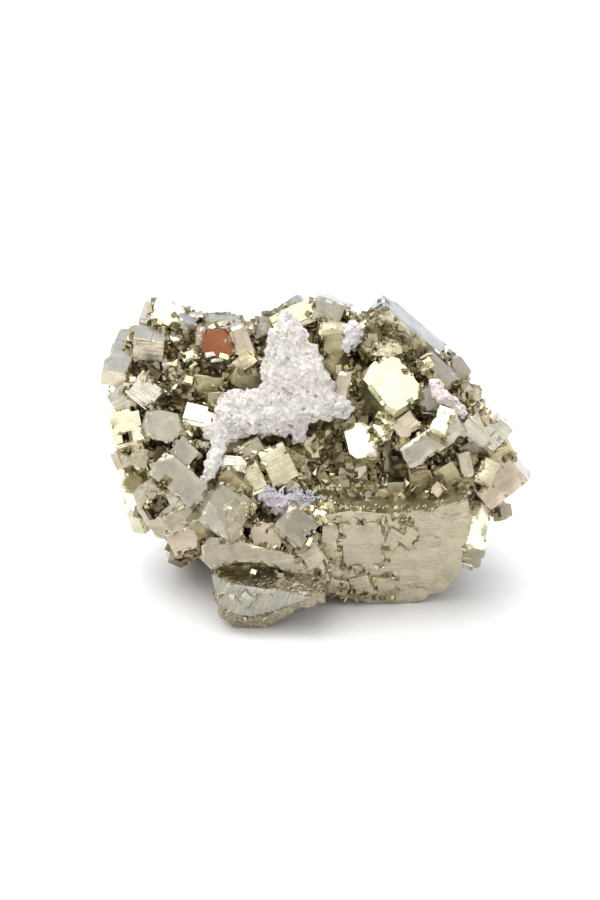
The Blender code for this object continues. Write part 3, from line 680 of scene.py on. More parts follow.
# ---------------------------------------------------------------------------------------------
# The foot that the specimen stands on, and the shelf over it, with a dark arch between them.
# Both are single large crystals of pyrite, broken along their lower edges.
# ---------------------------------------------------------------------------------------------
FOOT_CUBES = (
    (-3.0, -24.0, 11.0, 14.0, 5.0, 10.0, -8, -25, 0, 0.0, "broken"),
    # the cube in the arch under the shelf takes the dark finish as painted shade for that recess
    (-13.0, -22.4, 12.0, 14.0, 4.0, 8.0, 0, -45, 0, 0.0, "dark"),
    (-18.4, -26.6, 17.0, 3.0, 7.0, 14.0, 8, 5, -35, 0.0, "olive"),
    (-13.4, -27.0, 22.7, 2.8, 3.0, 5.0, -38, 10, -4, 0.0, "facet"),
)
FOOT_FACET = (
    22.0, 6, -4, 14.0,
    ((-20.4, -22.4), (-19.8, -26.0), (-19.0, -28.4), (-15.8, -30.2), (-12.6, -30.8),
     (-8.6, -29.8), (-5.0, -28.4), (-0.6, -26.8), (-3.8, -26.0), (-10.6, -25.0),
     (-15.0, -24.4), (-17.4, -23.6)),
    "facet",
)
# The band along the foot's lower edge has the band finish, darkened as painted shade for its shadow.
FOOT_BAND = (
    20.3, -28, -2, 18.0,
    ((-19.6, -27.0), (-18.8, -31.2), (-15.8, -33.2), (-13.0, -34.0), (-10.0, -33.6),
     (-6.4, -31.4), (-3.0, -29.4), (2.0, -28.2), (2.0, -26.0), (-4.0, -26.0), (-12.0, -27.0)),
    "band",
)
SHELF = (
    15.8, -8, -4, 12.0,
    ((-22.6, -17.0), (-22.4, -20.0), (-20.6, -21.8), (-18.0, -21.2), (-15.0, -20.2),
     (-10.6, -20.6), (-5.0, -22.4), (3.0, -24.0), (1.4, -19.4), (-5.0, -18.2),
     (-10.6, -17.2), (-15.0, -15.6), (-20.6, -15.0)),
    "brass",
)
foot = grown(FOOT_CUBES)
for outline, slant in ((FOOT_FACET, -62), (FOOT_BAND, 8), (SHELF, -6)):
    outlined_crystal(foot, *outline, slant=slant)
finish_group("foot_and_shelf", foot, PYRITE, "pyrite_cluster")

# ---------------------------------------------------------------------------------------------
# The great block at the lower right: the largest crystal, upright on the ground, its face
# broken into low panels and its top a smooth ledge. A bright end crystal stands beside it.
# ---------------------------------------------------------------------------------------------
BLOCK_PANELS = (
    (9.6, -16.8, 15.2, 8.4, 9.6, 6.0, 2, -24, 2, 0.0, "block"),
    (2.8, -16.6, 15.5, 3.4, 9.2, 10.0, -6, -24, -4, 0.0, "block"),
    (15.2, -15.8, 15.3, 3.2, 4.4, 5.0, -32, -23, 2, 0.0, "block"),
    (18.2, -15.4, 15.5, 3.0, 4.6, 5.0, -34, -24, 2, 0.0, "block"),
    (9.4, -25.0, 11.5, 4.6, 4.4, 8.0, 18, -22, 0, 0.0, "block"),
    (4.2, -25.2, 11.6, 5.0, 3.4, 8.0, -14, -26, 0, 0.0, "block"),
    (13.8, -25.4, 10.9, 4.2, 4.8, 8.0, 2, -26, 0, 0.0, "block"),
    (32.2, -12.8, 9.0, 4.4, 11.0, 8.0, -9, 28, 10, 0.6, "pale"),
    (30.6, -19.2, 6.5, 4.4, 5.0, 8.0, -20, -10, 20, 0.0, "grey"),
)
GREAT_BLOCK = (
    13.4, -25, 3, 17.0,
    ((1.4, -11.0), (1.4, -25.0), (4.0, -27.4), (8.0, -28.0), (12.0, -28.6), (17.0, -28.8),
     (22.0, -27.6), (25.4, -26.0), (28.0, -23.8), (29.2, -21.0), (29.4, -17.6),
     (30.6, -14.0), (31.0, -11.0), (30.2, -7.8), (23.0, -9.2), (16.2, -10.8), (7.0, -10.0)),
    "block",
)
block = grown(BLOCK_PANELS)
outlined_crystal(block, *GREAT_BLOCK, unevenness=0.25)
finish_group("great_block", block, PYRITE, "pyrite_cluster")

# ---------------------------------------------------------------------------------------------
# The right side: the long ridge prism along the top right, the bright window crystal, the
# ridged pair at the outer edge, and the beam with the flash of light on it.
# ---------------------------------------------------------------------------------------------
RIGHT = (
    (16.8, 22.0, 3.0, 16.8, 10.0, 7.5, -42, -25, 0, 0.0, "grey"),
    (15.2, 15.4, 13.0, 8.8, 11.6, 12.0, 33, 28, 3, 1.8, "window"),
    (13.4, 22.4, 9.0, 6.6, 4.0, 6.0, -12, 22, -6, 0.8, "rough"),
    (2.8, 17.2, 9.0, 3.6, 4.2, 6.0, 2, -28, -30, 0.0, "olive"),
    (5.6, 14.8, 12.0, 3.0, 5.6, 5.0, -4, -10, 4, 0.0, "tan"),
    (21.8, 19.2, 10.0, 3.2, 2.8, 4.0, 30, 12, 0, 0.0, "cream"),
    (24.6, 17.4, 8.0, 8.0, 4.4, 6.0, -42, -6, 6, 0.0, "dull"),
    (28.4, 18.0, 2.0, 5.0, 4.6, 8.0, -50, -5, 10, 1.0, "dull"),
    (29.4, 13.8, 3.0, 4.0, 3.0, 8.0, -45, 50, 0, 0.0, "grey"),
    (31.0, 12.0, 5.0, 5.0, 4.0, 7.0, -42, -8, 8, 0.0, "ridged"),
    (33.8, 6.0, 9.0, 9.0, 7.0, 10.0, -40, -14, 6, 0.0, "ridged"),
    (36.0, -4.0, 7.5, 9.6, 8.4, 10.0, 38, -10, -6, 0.5, "tan"),
    (37.8, 1.6, 7.5, 3.4, 3.6, 4.0, 30, -20, 10, 0.0, "gold"),
    (34.2, -2.4, 12.0, 3.2, 5.6, 4.0, -22, 12, 0, 0.0, "cream"),
    (29.8, -1.0, 13.5, 2.6, 5.4, 4.0, 12, 4, -8, 0.0, "brass"),
    (23.2, 3.6, 16.0, 13.6, 5.0, 12.0, 34, -10, 0, 0.0, "grey"),
    (25.0, 8.0, 17.6, 3.6, 6.4, 8.0, -22, 30, 0, 0.0, "pale"),
    (33.0, 3.0, 8.0, 9.0, 3.0, 6.0, 25, -12, 0, 0.0, "dull"),
    (26.4, -3.4, 11.0, 5.4, 5.4, 6.0, 32, -20, 0, 0.0, "olive"),
    (20.6, -3.4, 11.0, 4.0, 4.0, 5.0, 10, -20, 0, 0.0, "bronze"),
    (24.2, -5.8, 14.0, 2.4, 2.6, 3.0, 42, 4, 0, 0.0, "tan"),
    (18.0, 7.0, 13.0, 5.0, 4.0, 6.0, 38, 8, 0, 0.0, "tan"),
    (23.0, 12.0, 12.0, 5.0, 5.0, 6.0, 30, -8, 0, 0.0, "dull"),
)
finish_group("right_side", grown(RIGHT), PYRITE, "pyrite_cluster")

# ---------------------------------------------------------------------------------------------
# The centre: a dark hollow in the pyrite, floored with tilted slabs, and the bright frosted
# crystals that grew beside it.
# ---------------------------------------------------------------------------------------------
CENTRE = (
    (9.2, 4.0, 11.0, 6.0, 8.0, 6.0, 12, 30, 0, 1.2, "peak"),
    (14.8, 7.8, 12.5, 2.8, 4.0, 4.0, 30, 30, 0, 0.0, "pale"),
    (12.8, 6.2, 12.2, 1.9, 3.4, 4.0, 30, 30, 0, 0.0, "pale"),
    (13.8, 4.6, 12.6, 1.6, 1.6, 3.0, 30, 30, 0, 0.0, "pale"),
    (12.2, 4.4, 12.0, 1.4, 1.4, 3.0, 30, 30, 0, 0.0, "pale"),
    (8.2, -1.8, 10.0, 4.0, 3.8, 5.0, 8, 2, 0, 1.1, "grey"),
    # this crystal's red-brown face is a painted reflection of something red nearby
    (10.6, 0.2, 9.5, 5.0, 2.6, 4.0, 22, -6, 0, 0.0, "rust"),
    # the slabs in the hollow take dark finishes as painted shade for the hollow
    (14.4, 0.4, 8.0, 2.0, 6.0, 6.0, 8, -10, 20, 0.0, "dark"),
    (2.0, 2.4, 6.0, 3.0, 8.0, 8.0, 30, -5, 30, 0.0, "olive"),
    (5.0, -1.0, 7.0, 3.0, 10.0, 8.0, 28, 0, -30, 0.0, "bronze"),
    (-0.4, 3.0, 8.0, 3.4, 3.4, 5.0, 35, 12, 10, 0.0, "gold"),
    (5.0, -5.6, 9.0, 4.0, 5.0, 5.0, 12, -8, 0, 0.0, "rough"),
)
finish_group("centre", grown(CENTRE), PYRITE, "pyrite_cluster")

# ---------------------------------------------------------------------------------------------
# The back and the underside: cubes facing outwards all round, on the broken mass that every
# crystal is rooted in. Two upright cubes under the back carry it.
# ---------------------------------------------------------------------------------------------
REAR_FEET = (
    (-17.0, -9.6, -13.0, 12.0, 16.6, 11.0, 0, -25, 14, 0.8, "brass"),
    (15.0, -9.0, -12.0, 13.0, 18.6, 11.0, 0, -25, -10, 1.2, "brass"),
)
BROKEN_MASS = (
    (-17.0, 9.0, 3.0, 38.0, 26.0, 16.0, -8, 6, -6, 3.0, "broken"),
    (-15.0, -8.0, 7.0, 30.0, 20.0, 18.0, 8, -6, -4, 3.0, "broken"),
    (14.0, 6.0, 4.0, 33.0, 25.0, 16.0, -12, 4, 6, 4.0, "broken"),
    (14.0, -11.0, 8.0, 28.0, 14.0, 18.0, 4, -25, 2, 3.0, "broken"),
    (-11.0, -24.6, 8.5, 14.0, 9.0, 12.0, -4, -25, 0, 1.0, "broken"),
    (-2.0, 21.0, -3.0, 30.0, 11.0, 8.0, -2, 4, 0, 2.5, "broken"),
    (29.0, -4.0, 4.0, 15.0, 17.0, 10.0, 10, -10, 4, 3.0, "broken"),
    (-32.0, 17.0, 0.0, 13.0, 15.0, 8.0, 0, 0, -10, 2.0, "broken"),
    (0.0, 2.0, -8.0, 50.0, 26.0, 12.0, 4, -12, 0, 6.0, "broken"),
)
BACK_SEED = 5
BACK_COUNT = 110
BACK_CENTRE = Vector((-1.0, 3.0, -7.0))
BACK_RADII = Vector((30.5, 19.0, 17.5))
BACK_FRONT_LIMIT = -4.0  # no cube's face centre is further out than this,
UNDER_FRONT_LIMIT = 5.0  # or than this on the underside,
UNDER_FROM = -0.25  # which starts this far down the ellipsoid, as a share of its radius
BACK_LOW_LIMIT = -19.5  # cubes lower than this are raised to it
BACK_WIDTHS = (6.5, 12.5)
BACK_HEIGHTS = (0.7, 1.15)  # as a share of the width
BACK_DEPTH = 12.0
BACK_SPIN = 45  # degrees either way,
BACK_TILT = 14  # and for the pitch and the yaw
BACK_CUTS = (0.0, 0.0, 0.6, 1.4)
GOLDEN_ANGLE = math.pi * (3 - math.sqrt(5))
BACK_FINISHES = ("brass", "grey", "brass", "ridged", "cream", "olive", "gold", "dull")
back = new_group()
rng = random.Random(BACK_SEED)
for i in range(BACK_COUNT):
    rise = 1 - 2 * (i + 0.5) / BACK_COUNT
    ring = math.sqrt(1 - rise * rise)
    angle = i * GOLDEN_ANGLE
    way = Vector((ring * math.cos(angle), rise, ring * math.sin(angle)))
    place = BACK_CENTRE + Vector(w * r for w, r in zip(way, BACK_RADII))
    if place.z > (UNDER_FRONT_LIMIT if rise < UNDER_FROM else BACK_FRONT_LIMIT):
        continue
    too_low = BACK_LOW_LIMIT - (DISPLAY @ place).z
    if too_low > 0:
        place += DISPLAY.inverted() @ Vector((0, 0, too_low))
    normal = Vector(w / r for w, r in zip(way, BACK_RADII)).normalized()
    width = rng.uniform(*BACK_WIDTHS)
    crystal(
        back,
        *place,
        width,
        width * rng.uniform(*BACK_HEIGHTS),
        BACK_DEPTH,
        rng.uniform(-BACK_SPIN, BACK_SPIN),
        math.degrees(math.asin(normal.y)) + rng.uniform(-BACK_TILT, BACK_TILT),
        math.degrees(math.atan2(normal.x, normal.z)) + rng.uniform(-BACK_TILT, BACK_TILT),
        rng.choice(BACK_CUTS),
        BACK_FINISHES[i % len(BACK_FINISHES)],
    )
for row in (*REAR_FEET, *BROKEN_MASS):
    crystal(back, *row)
finish_group("back_and_core", back, PYRITE, "pyrite_cluster")

# ---------------------------------------------------------------------------------------------
# The small crystals: thousands of cubes and blades under 3 mm, grown over the broken mass and in
# the corners between the large crystals. They're the same pyrite, in shades from pale to brown;
# the darker shades are also painted shade for the corners and hollows they fill.
# ---------------------------------------------------------------------------------------------
MASS_TRIES = 8500  # places tried on the broken mass: most are buried in other crystals
CORNER_TRIES = 18000  # places tried on the whole surface: most aren't in a corner
BURIED = 0.08  # mm: a place further than this from the open surface is buried
CORNER_RISE, CORNER_GAP = 1.6, 1.1  # mm: straight out from a corner, another face is this near
CRUMB_LEAST = 0.3  # mm, the side of the smallest cube
# Crumb shades: the usual mix, weighted to brown partly as painted shade for the corners it fills; the
# dark mix, painted shade for hollows and shaded bands; and a golden mix.
BRIGHT = ("gold", "bronze", "bronze", "dark", "olive", "olive", "cream", "grey", "bronze", "brass")
DARK_AND_PAINTED_SHADE = ("bronze", "dark", "olive", "bronze", "olive", "rough")
GOLDEN = ("gold", "cream", "gold", "brass", "olive")
FLATNESS = (1.0, 0.7, 0.35)  # thickness of a cube, a slab and a blade, as a share of the side
BROKEN_CORNERS = (0, 0, 1, 3)
CRUMBS_AT_ONCE = 60
LIE_SCALE = 0.11  # per mm: how quickly the way that neighbouring cubes lie changes
LIE_TURN = 5.0  # radians that it turns through,
LIE_SPREAD = 0.3  # and how far one cube strays from it
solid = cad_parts["pyrite_cluster"].data
solid.calc_loop_triangles()
solid_tree = BVHTree.FromPolygons(
    [v.co / MM for v in solid.vertices], [t.vertices for t in solid.loop_triangles]
)
low_corner, high_corner = (Vector(corner) / MM for corner in cad_box)
crumbs = new_group()
handful = new_group()


def crumb(handful, place, normal, side, shades=BRIGHT):
    """Adds one tiny cube or blade that lies nearly as its neighbours do, part sunk in its seat.

    It returns the handful that the next one goes into, because a small mesh is quick to add to."""
    if len(handful.faces) > 6 * CRUMBS_AT_ONCE:
        pour(handful, crumbs)
        handful = new_group()
    flat = grain.choice(FLATNESS)
    size = Vector((side, side * grain.uniform(0.6, 1.1) * flat, side * grain.uniform(0.7, 1.7)))
    spot = place + normal * side * grain.uniform(-0.15, 0.25)
    reach = size.length / 2
    if any(spot[i] - reach < low_corner[i] or spot[i] + reach > high_corner[i] for i in range(3)):
        return handful
    lie = noise.noise_vector(place * LIE_SCALE) * LIE_TURN
    turn = Euler([way + grain.gauss(0, LIE_SPREAD) for way in lie]).to_matrix().to_4x4()
    made = bmesh.ops.create_cube(
        handful, size=MM, matrix=Matrix.Translation(spot * MM) @ turn @ Matrix.Diagonal((*size, 1))
    )
    for v in grain.sample(made["verts"], grain.choice(BROKEN_CORNERS)):
        v.co += (spot * MM - v.co) * grain.uniform(0.1, 0.6)
    tint_layer = handful.faces.layers.float_color["tint"]
    relief_layer = handful.faces.layers.float_vector["relief"]
    tint, (_, roughness, _), _ = FINISHES[grain.choice(shades)]
    shade = grain.uniform(0.75, 1.15)
    for face in {f for v in made["verts"] for f in v.link_faces}:
        face[tint_layer] = (*[c * shade for c in tint], 1)
        face[relief_layer] = (0.0, roughness, 0.0)
    return handful


masses = []
for across, up, out, *size, spin, pitch, yaw, _, _ in BROKEN_MASS:
    to_part = place_in_part(spin, pitch, yaw, across, up, out)
    for axis, sign in ((0, 1), (0, -1), (1, 1), (1, -1), (2, 1), (2, -1)):
        area = size[(axis + 1) % 3] * size[(axis + 2) % 3]
        masses.append((area, to_part, size, axis, sign))
areas = [mass[0] for mass in masses]
for _ in range(MASS_TRIES):
    area, to_part, size, axis, sign = grain.choices(masses, areas)[0]
    spot = Vector([grain.uniform(-0.5, 0.5) * s for s in size])
    spot[axis] = sign * size[axis] / 2
    spot.z -= size[2] / 2
    place = to_part @ spot / MM
    _, facing, _, gap = solid_tree.find_nearest(place)
    if gap < BURIED:
        handful = crumb(handful, place, facing, 0.5 + 2.4 * grain.random() ** 2.5)
# Bands where they crowd: two ends (across, up), spread, how many, the largest side in mm, shades.
# The dark ones are painted shade, laid in the hollows and along bands that lie in shadow.
BELTS = (
    ((3.0, -9.4), (24.0, -9.6), 0.45, 130, 0.6, DARK_AND_PAINTED_SHADE),
    ((15.5, -10.6), (19.0, -12.6), 0.9, 70, 0.9, DARK_AND_PAINTED_SHADE),
    ((8.6, 28.4), (14.0, 30.0), 1.4, 60, 1.3, DARK_AND_PAINTED_SHADE),
    ((12.0, 27.0), (19.0, 22.0), 2.0, 80, 1.3, DARK_AND_PAINTED_SHADE),
    ((17.0, 21.0), (25.0, 14.0), 1.6, 50, 1.3, DARK_AND_PAINTED_SHADE),
    ((9.0, 20.0), (12.0, 26.0), 1.6, 70, 1.8, BRIGHT),
    ((-33.6, -7.0), (-29.6, -9.4), 1.0, 26, 1.4, BRIGHT),
    ((-34.0, 17.0), (-24.0, 19.0), 2.2, 50, 1.8, BRIGHT),
    ((0.0, 6.0), (8.0, -6.0), 2.6, 110, 1.8, DARK_AND_PAINTED_SHADE),
    ((26.0, 12.0), (36.0, 8.0), 1.8, 50, 1.5, BRIGHT),
    ((-13.4, -8.6), (-11.0, -12.4), 1.2, 90, 0.8, GOLDEN),
    ((-2.0, -9.4), (3.0, -8.4), 0.9, 70, 0.9, GOLDEN),
    ((0.0, -24.6), (16.0, -27.6), 1.0, 60, 0.9, DARK_AND_PAINTED_SHADE),
)
towards = DISPLAY @ Vector((0, 0, -1))
for start, end, spread, count, largest, shades in BELTS:
    for _ in range(count):
        share = grain.random()
        across = start[0] + (end[0] - start[0]) * share + grain.gauss(0, spread * 0.6)
        up = start[1] + (end[1] - start[1]) * share + grain.gauss(0, spread * 0.6)
        sight = DISPLAY_ORIGIN + DISPLAY @ Vector((across, up, 60))
        place, facing, _, _ = solid_tree.ray_cast(sight, towards)
        if place is not None:
            side = CRUMB_LEAST + (largest - CRUMB_LEAST) * grain.random() ** 1.6
            handful = crumb(handful, place, facing, side, shades)
areas = [t.area for t in solid.loop_triangles]
for triangle in grain.choices(solid.loop_triangles, areas, k=CORNER_TRIES):
    a, b, c = (solid.vertices[i].co / MM for i in triangle.vertices)
    p, q = sorted((grain.random(), grain.random()))
    place = a * p + b * (q - p) + c * (1 - q)
    _, _, _, gap = solid_tree.find_nearest(place + triangle.normal * CORNER_RISE)
    if gap < CORNER_GAP:
        side = CRUMB_LEAST + 1.1 * grain.random() ** 2.4
        handful = crumb(handful, place, triangle.normal, side)
pour(handful, crumbs)
small_crystals = new_shape("small_crystals", crumbs, PYRITE)
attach(small_crystals, "root")
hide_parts("pyrite_cluster")

# ---------------------------------------------------------------------------------------------
# The pale gangue: the limy rock that the pyrite grew in, left in a ridge down the middle. It's
# a crumbly mass of white and lilac grains, with dark grains of ore caught in it.
# ---------------------------------------------------------------------------------------------
PALE_MATRIX = (
    (-5.6, 23.4, 8.5, 8.4, 11.0, 9.0, -8),
    (-4.0, 17.4, 9.5, 14.0, 12.0, 9.0, -20),
    (-1.0, 11.6, 10.0, 15.0, 9.0, 8.0, 10),
    (4.2, 10.0, 10.5, 7.0, 5.0, 6.0, 0),
    (-8.4, 9.8, 10.5, 13.0, 10.4, 8.0, 6),
    (-15.0, 9.0, 10.5, 10.6, 11.0, 8.0, 15),
    (-18.6, 5.6, 11.0, 6.4, 7.0, 7.0, 0),
    (-3.2, 5.6, 9.5, 3.6, 5.4, 6.0, -10),
    (-19.8, -0.2, 13.0, 4.0, 9.6, 7.0, -22),
    (-18.8, 3.4, 12.0, 4.4, 5.0, 7.0, 0),
)
GRAIN_VOXEL = 0.26  # mm
KNOB_SCALE, KNOB_SIZE = 3.5, 0.3  # of the knobs on a lump, by its own size
CLUMP_SCALE, LUMP_SCALE, GRIT_SCALE = 0.42, 0.95, 2.6  # of the grains on its surface, per mm
CELL_MIDDLE = 0.3  # the mean distance from a place to the middle of its cell, in cells


def gangue(name, lumps, replaced, material, coarse, fine):
    """Joins knobbly ellipsoids and breaks their surface into grains, up to coarse and fine mm deep."""
    bm = bmesh.new()
    for across, up, out, width, height, depth, spin in lumps:
        ball = bmesh.ops.create_icosphere(bm, subdivisions=5, radius=0.5)["verts"]
        for v in ball:
            v.co *= 1 + KNOB_SIZE * noise.noise(v.co * KNOB_SCALE + Vector((across, up, out)))
        bmesh.ops.scale(bm, vec=(width, height, depth), verts=ball)
        turn = (DISPLAY @ Matrix.Rotation(math.radians(spin), 3, "Z")).to_4x4()
        place = Matrix.Translation(DISPLAY_ORIGIN + DISPLAY @ Vector((across, up, out)))
        bmesh.ops.transform(bm, matrix=place @ turn, verts=ball)
    shape = new_shape(name, bm, material)
    balls = shape.data
    remesh = shape.modifiers.new("Join", "REMESH")
    remesh.mode = "VOXEL"
    remesh.voxel_size = GRAIN_VOXEL
    bpy.context.view_layer.update()
    remeshed = shape.evaluated_get(bpy.context.evaluated_depsgraph_get())
    joined = bpy.data.meshes.new_from_object(remeshed)
    shape.modifiers.remove(remesh)
    shape.data = joined
    bpy.data.meshes.remove(balls)
    joined.name = name
    normals = [v.normal.copy() for v in joined.vertices]
    for v, normal in zip(joined.vertices, normals):
        spot = v.co.copy()
        clump = noise.voronoi(spot * CLUMP_SCALE)[0][0] - CELL_MIDDLE
        lump = noise.voronoi(spot * LUMP_SCALE)[0][0] - CELL_MIDDLE
        grit = noise.noise(spot * GRIT_SCALE)
        v.co -= normal * (coarse * clump + fine * (lump + 0.35 * grit))
    joined.transform(Matrix.Scale(MM, 4))
    for v in joined.vertices:
        v.co = within_box(v.co)
    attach(shape, "root")
    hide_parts(replaced)
    return shape


def gangue_material(name, pale, stain, dark, dark_share):
    """Chalky grains, stained here and there, with specks of ore."""
    material, tree, shader = new_material(name)
    place = node(tree, "ShaderNodeTexCoord").outputs["Object"]
    grains = node(tree, "ShaderNodeTexVoronoi", {"Vector": place, "Scale": 1500})
    chance = node(tree, "ShaderNodeSeparateColor", {"Color": grains.outputs["Color"]}).outputs
    cloud = node(tree, "ShaderNodeTexNoise", {"Vector": place, "Scale": 320, "Detail": 5})
    stained = mixed(tree, mapped(tree, cloud.outputs[0], 0.48, 0.70), pale, stain)
    varied = brightened(tree, stained, mapped(tree, chance[0], 0, 1, 0.72, 1.08))
    speck = node(tree, "ShaderNodeMath", {0: chance[1], 1: dark_share}, operation="LESS_THAN")
    fine = node(tree, "ShaderNodeTexNoise", {"Vector": place, "Scale": 2600, "Detail": 3})
    bump = node(
        tree, "ShaderNodeBump", {"Height": fine.outputs[0], "Strength": 0.8, "Distance": 0.00025}
    )
    fill(tree, shader, {
        "Base Color": mixed(tree, speck.outputs[0], varied, dark),
        "Roughness": 0.85,
        "Normal": bump.outputs[0],
    })
    return material


gangue(
    "pale_gangue", PALE_MATRIX, "pale_matrix",
    gangue_material("pale_gangue", (0.85, 0.81, 0.755), (0.72, 0.685, 0.69), (0.40, 0.36, 0.28), 0.05),
    coarse=1.5, fine=0.75,
)

# ---------------------------------------------------------------------------------------------
# The pink crust and the white patch: the same limy rock, stained pink on the right side and
# nearly white at the top, each a scrap caught between crystals.
# ---------------------------------------------------------------------------------------------
PALE_CRUST = (
    (25.4, 12.4, 13.0, 5.0, 3.4, 5.0, -40),
    (28.2, 10.2, 12.0, 5.4, 3.4, 5.0, -48),
    (24.0, 14.6, 11.5, 3.2, 3.8, 5.0, 0),
)
PALE_PATCH = (
    (7.6, 25.2, 6.0, 4.4, 5.4, 5.0, 20),
    (6.4, 23.0, 7.0, 2.6, 3.4, 4.0, 0),
)
gangue(
    "pink_crust", PALE_CRUST, "pale_crust",
    gangue_material("pink_crust", (0.84, 0.74, 0.73), (0.88, 0.85, 0.78), (0.42, 0.32, 0.28), 0.04),
    coarse=0.8, fine=0.5,
)
gangue(
    "white_patch", PALE_PATCH, "pale_patch",
    gangue_material("white_patch", (0.86, 0.81, 0.79), (0.78, 0.72, 0.74), (0.40, 0.36, 0.30), 0.03),
    coarse=0.8, fine=0.5,
)

# ---------------------------------------------------------------------------------------------
# The lilac quartz: a sugary crust of tiny quartz crystals in the nook above the shelf. Where they
# had room, most of all at its right end, they grew long enough to be seen as needles.
# ---------------------------------------------------------------------------------------------
QUARTZ_DRUSE = (
    (-5.2, -8.4, 13.0, 8.0, 4.0, 5.0, 30),
    (-8.8, -7.4, 13.0, 5.0, 4.0, 5.0, 0),
    (-2.2, -8.8, 13.0, 4.4, 3.4, 5.0, -20),
)
# Tufts of needles: across, up and out of each, how far it spreads in mm, how many.
TUFTS = (
    (-1.8, -7.6, 15.2, 1.4, 60),
    (-5.0, -7.8, 15.2, 1.3, 14),
    (-8.4, -6.2, 15.2, 1.0, 26),
)
NEEDLE_LENGTHS = (0.6, 1.6)  # mm
NEEDLE_RADII = (0.14, 0.30)
NEEDLE_ROOT = 1.2  # mm that a needle starts behind its tuft's place
NEEDLE_TAPER = 0.8  # radius under the tip, as a share of the radius at the root
TIP_RADIUS = 0.01
gangue(
    "lilac_quartz", QUARTZ_DRUSE, "quartz_druse",
    gangue_material("lilac_quartz", (0.72, 0.67, 0.70), (0.86, 0.87, 0.90), (0.34, 0.28, 0.26), 0.10),
    coarse=0.7, fine=0.7,
)
needles = bmesh.new()
for across, up, out, reach, count in TUFTS:
    for _ in range(count):
        lean = Vector((grain.gauss(0, 0.7), grain.gauss(0.3, 0.6), 1)).normalized()
        length = grain.uniform(*NEEDLE_LENGTHS)
        radius = grain.uniform(*NEEDLE_RADII)
        root = Vector(
            (across + grain.gauss(0, reach), up + grain.gauss(0, reach * 0.5), out - NEEDLE_ROOT)
        )
        stand = (DISPLAY @ lean).to_track_quat("Z", "Y").to_matrix().to_4x4()
        there = Matrix.Scale(MM, 4) @ Matrix.Translation(DISPLAY_ORIGIN + DISPLAY @ root) @ stand
        for rise, radius1, radius2, depth in (
            (length / 2, radius, radius * NEEDLE_TAPER, length),
            (length + radius, radius * NEEDLE_TAPER, TIP_RADIUS, radius * 2),
        ):
            bmesh.ops.create_cone(
                needles, cap_ends=True, segments=6, radius1=radius1, radius2=radius2,
                depth=depth, matrix=there @ Matrix.Translation((0, 0, rise)),
            )
quartz, quartz_tree, quartz_shader = new_material("quartz")
quartz_place = node(quartz_tree, "ShaderNodeTexCoord").outputs["Object"]
clouds = node(
    quartz_tree, "ShaderNodeTexNoise", {"Vector": quartz_place, "Scale": 900, "Detail": 3}
)
fill(quartz_tree, quartz_shader, {
    "Base Color": mixed(quartz_tree, clouds.outputs[0], (0.60, 0.57, 0.62), (0.84, 0.86, 0.88)),
    "Roughness": 0.12,
    "Coat Weight": 0.4,
})
quartz_needles = new_shape("quartz_needles", needles, quartz)
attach(quartz_needles, "root")
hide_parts("quartz_druse")

# ---------------------------------------------------------------------------------------------
# The floor: a plain pale sweep, faintly glossy, that the specimen stands on. It's the stage, and
# no part of the specimen.
# ---------------------------------------------------------------------------------------------
FLOOR_HALF = 1.5  # m
bm = bmesh.new()
bmesh.ops.create_grid(bm, x_segments=1, y_segments=1, size=FLOOR_HALF)
floor_material, floor_tree, floor_shader = new_material("floor")
fill(floor_tree, floor_shader, {
    "Base Color": (0.83, 0.82, 0.815, 1), "Roughness": 0.28, "IOR": 1.35,
})
floor = new_shape("floor", bm, floor_material)

# ---------------------------------------------------------------------------------------------
# The light: the crystals mirror a wide soft box overhead, in a patchy white room that's cooler
# behind. The floor and the matt stone are lit by a stronger box above and behind, so that the
# shadow falls forwards. The camera sees a plain white backdrop.
# ---------------------------------------------------------------------------------------------
# Direction of the middle of each box, and the cosines of the angles from it at which the box
# starts to show and is at its full brightness.
MIRRORED_BOX = ((-0.18, 0.0, 0.98), 0.62, 0.99)
LIGHTING_BOX = ((-0.30, 0.66, 0.68), 0.62, 0.96)
MIRRORED_BACK = (0.62, 0.30)  # how far back the mirrored box fades out, and is still whole
WALLS_TURN = (-0.25, 0.55)  # how far back the front wall ends, and the back wall starts
FRONT_WALL, BACK_WALL = (0.88, 0.88, 0.87), (0.88, 0.95, 1.20)
PATCHES = (0.62, 1.30)  # how bright the darkest and the brightest patch of the walls are
BOX_SEEN = (2.7, 2.7, 2.7)
ROOM_LIGHT, BOX_LIGHT = (0.90, 0.90, 0.90), (4.9, 4.9, 4.9)
BACKDROP = (1.2, 1.2, 1.2)
scene = bpy.context.scene
world = bpy.data.worlds.new("studio")
scene.world = world
world.use_nodes = True
sky = world.node_tree
sky.nodes.clear()
way = node(sky, "ShaderNodeTexCoord").outputs["Generated"]
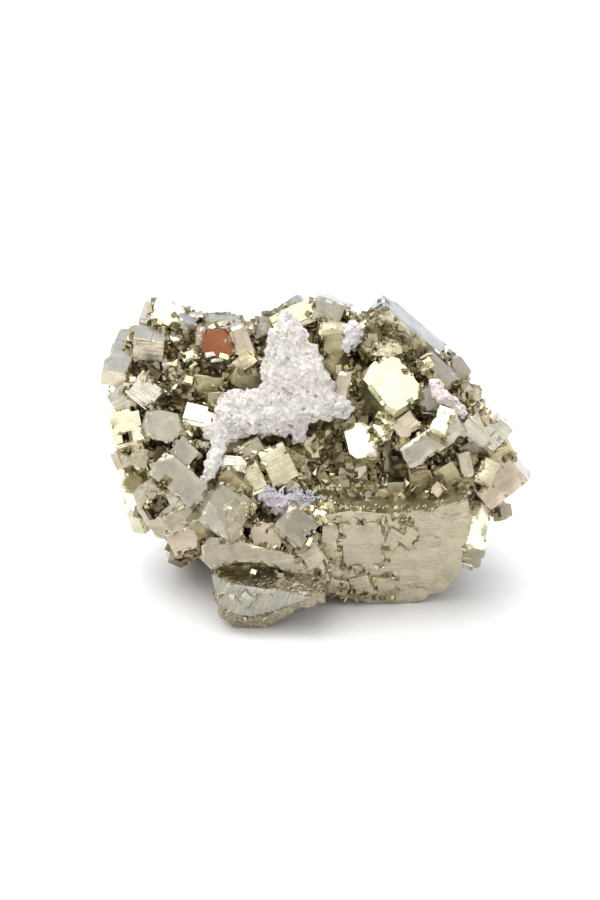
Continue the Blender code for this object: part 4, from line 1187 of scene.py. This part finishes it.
back_way = node(sky, "ShaderNodeSeparateXYZ", {"Vector": way}).outputs["Y"]
rays = node(sky, "ShaderNodeLightPath").outputs


def soft_box(direction, edge, middle):
    """How far inside a soft box a direction is, from 0 outside its edge to 1 in its middle."""
    toward = node(
        sky, "ShaderNodeVectorMath", {0: way, 1: Vector(direction).normalized()},
        operation="DOT_PRODUCT",
    )
    return mapped(sky, toward.outputs["Value"], edge, middle, curve="SMOOTHSTEP")


mirrored = node(
    sky, "ShaderNodeMath",
    {0: soft_box(*MIRRORED_BOX), 1: mapped(sky, back_way, *MIRRORED_BACK, curve="SMOOTHSTEP")},
    operation="MULTIPLY",
).outputs[0]
room = node(sky, "ShaderNodeTexNoise", {"Vector": way, "Scale": 2.6, "Detail": 2})
behind = mapped(sky, back_way, *WALLS_TURN, curve="SMOOTHSTEP")
walls = brightened(
    sky, mixed(sky, behind, FRONT_WALL, BACK_WALL),
    mapped(sky, room.outputs[0], 0.38, 0.62, *PATCHES),
)
dome = mixed(
    sky, rays["Is Diffuse Ray"],
    mixed(sky, mirrored, walls, BOX_SEEN),
    mixed(sky, soft_box(*LIGHTING_BOX), ROOM_LIGHT, BOX_LIGHT),
)
shown = mixed(sky, rays["Is Camera Ray"], dome, BACKDROP)
glow = node(sky, "ShaderNodeBackground", {"Color": shown})
node(sky, "ShaderNodeOutputWorld", {"Surface": glow.outputs[0]})
scene.view_settings.view_transform = "Standard"

# ---------------------------------------------------------------------------------------------
# The camera: from the front and above, along the display side's own outward direction.
# ---------------------------------------------------------------------------------------------
VIEW_MIDDLE = Vector((-3, 2, 0))  # across, up and out, in mm
VIEW_DISTANCE = 1.2  # m
lens = bpy.data.cameras.new("camera")
lens.lens = 240
lens.clip_end = 10
camera = bpy.data.objects.new("camera", lens)
scene.collection.objects.link(camera)
away = DISPLAY @ Vector((0, 0, 1))
camera.location = MM * (DISPLAY_ORIGIN + DISPLAY @ VIEW_MIDDLE) + away * VIEW_DISTANCE
camera.rotation_euler = away.to_track_quat("Z", "Y").to_euler()
scene.camera = camera
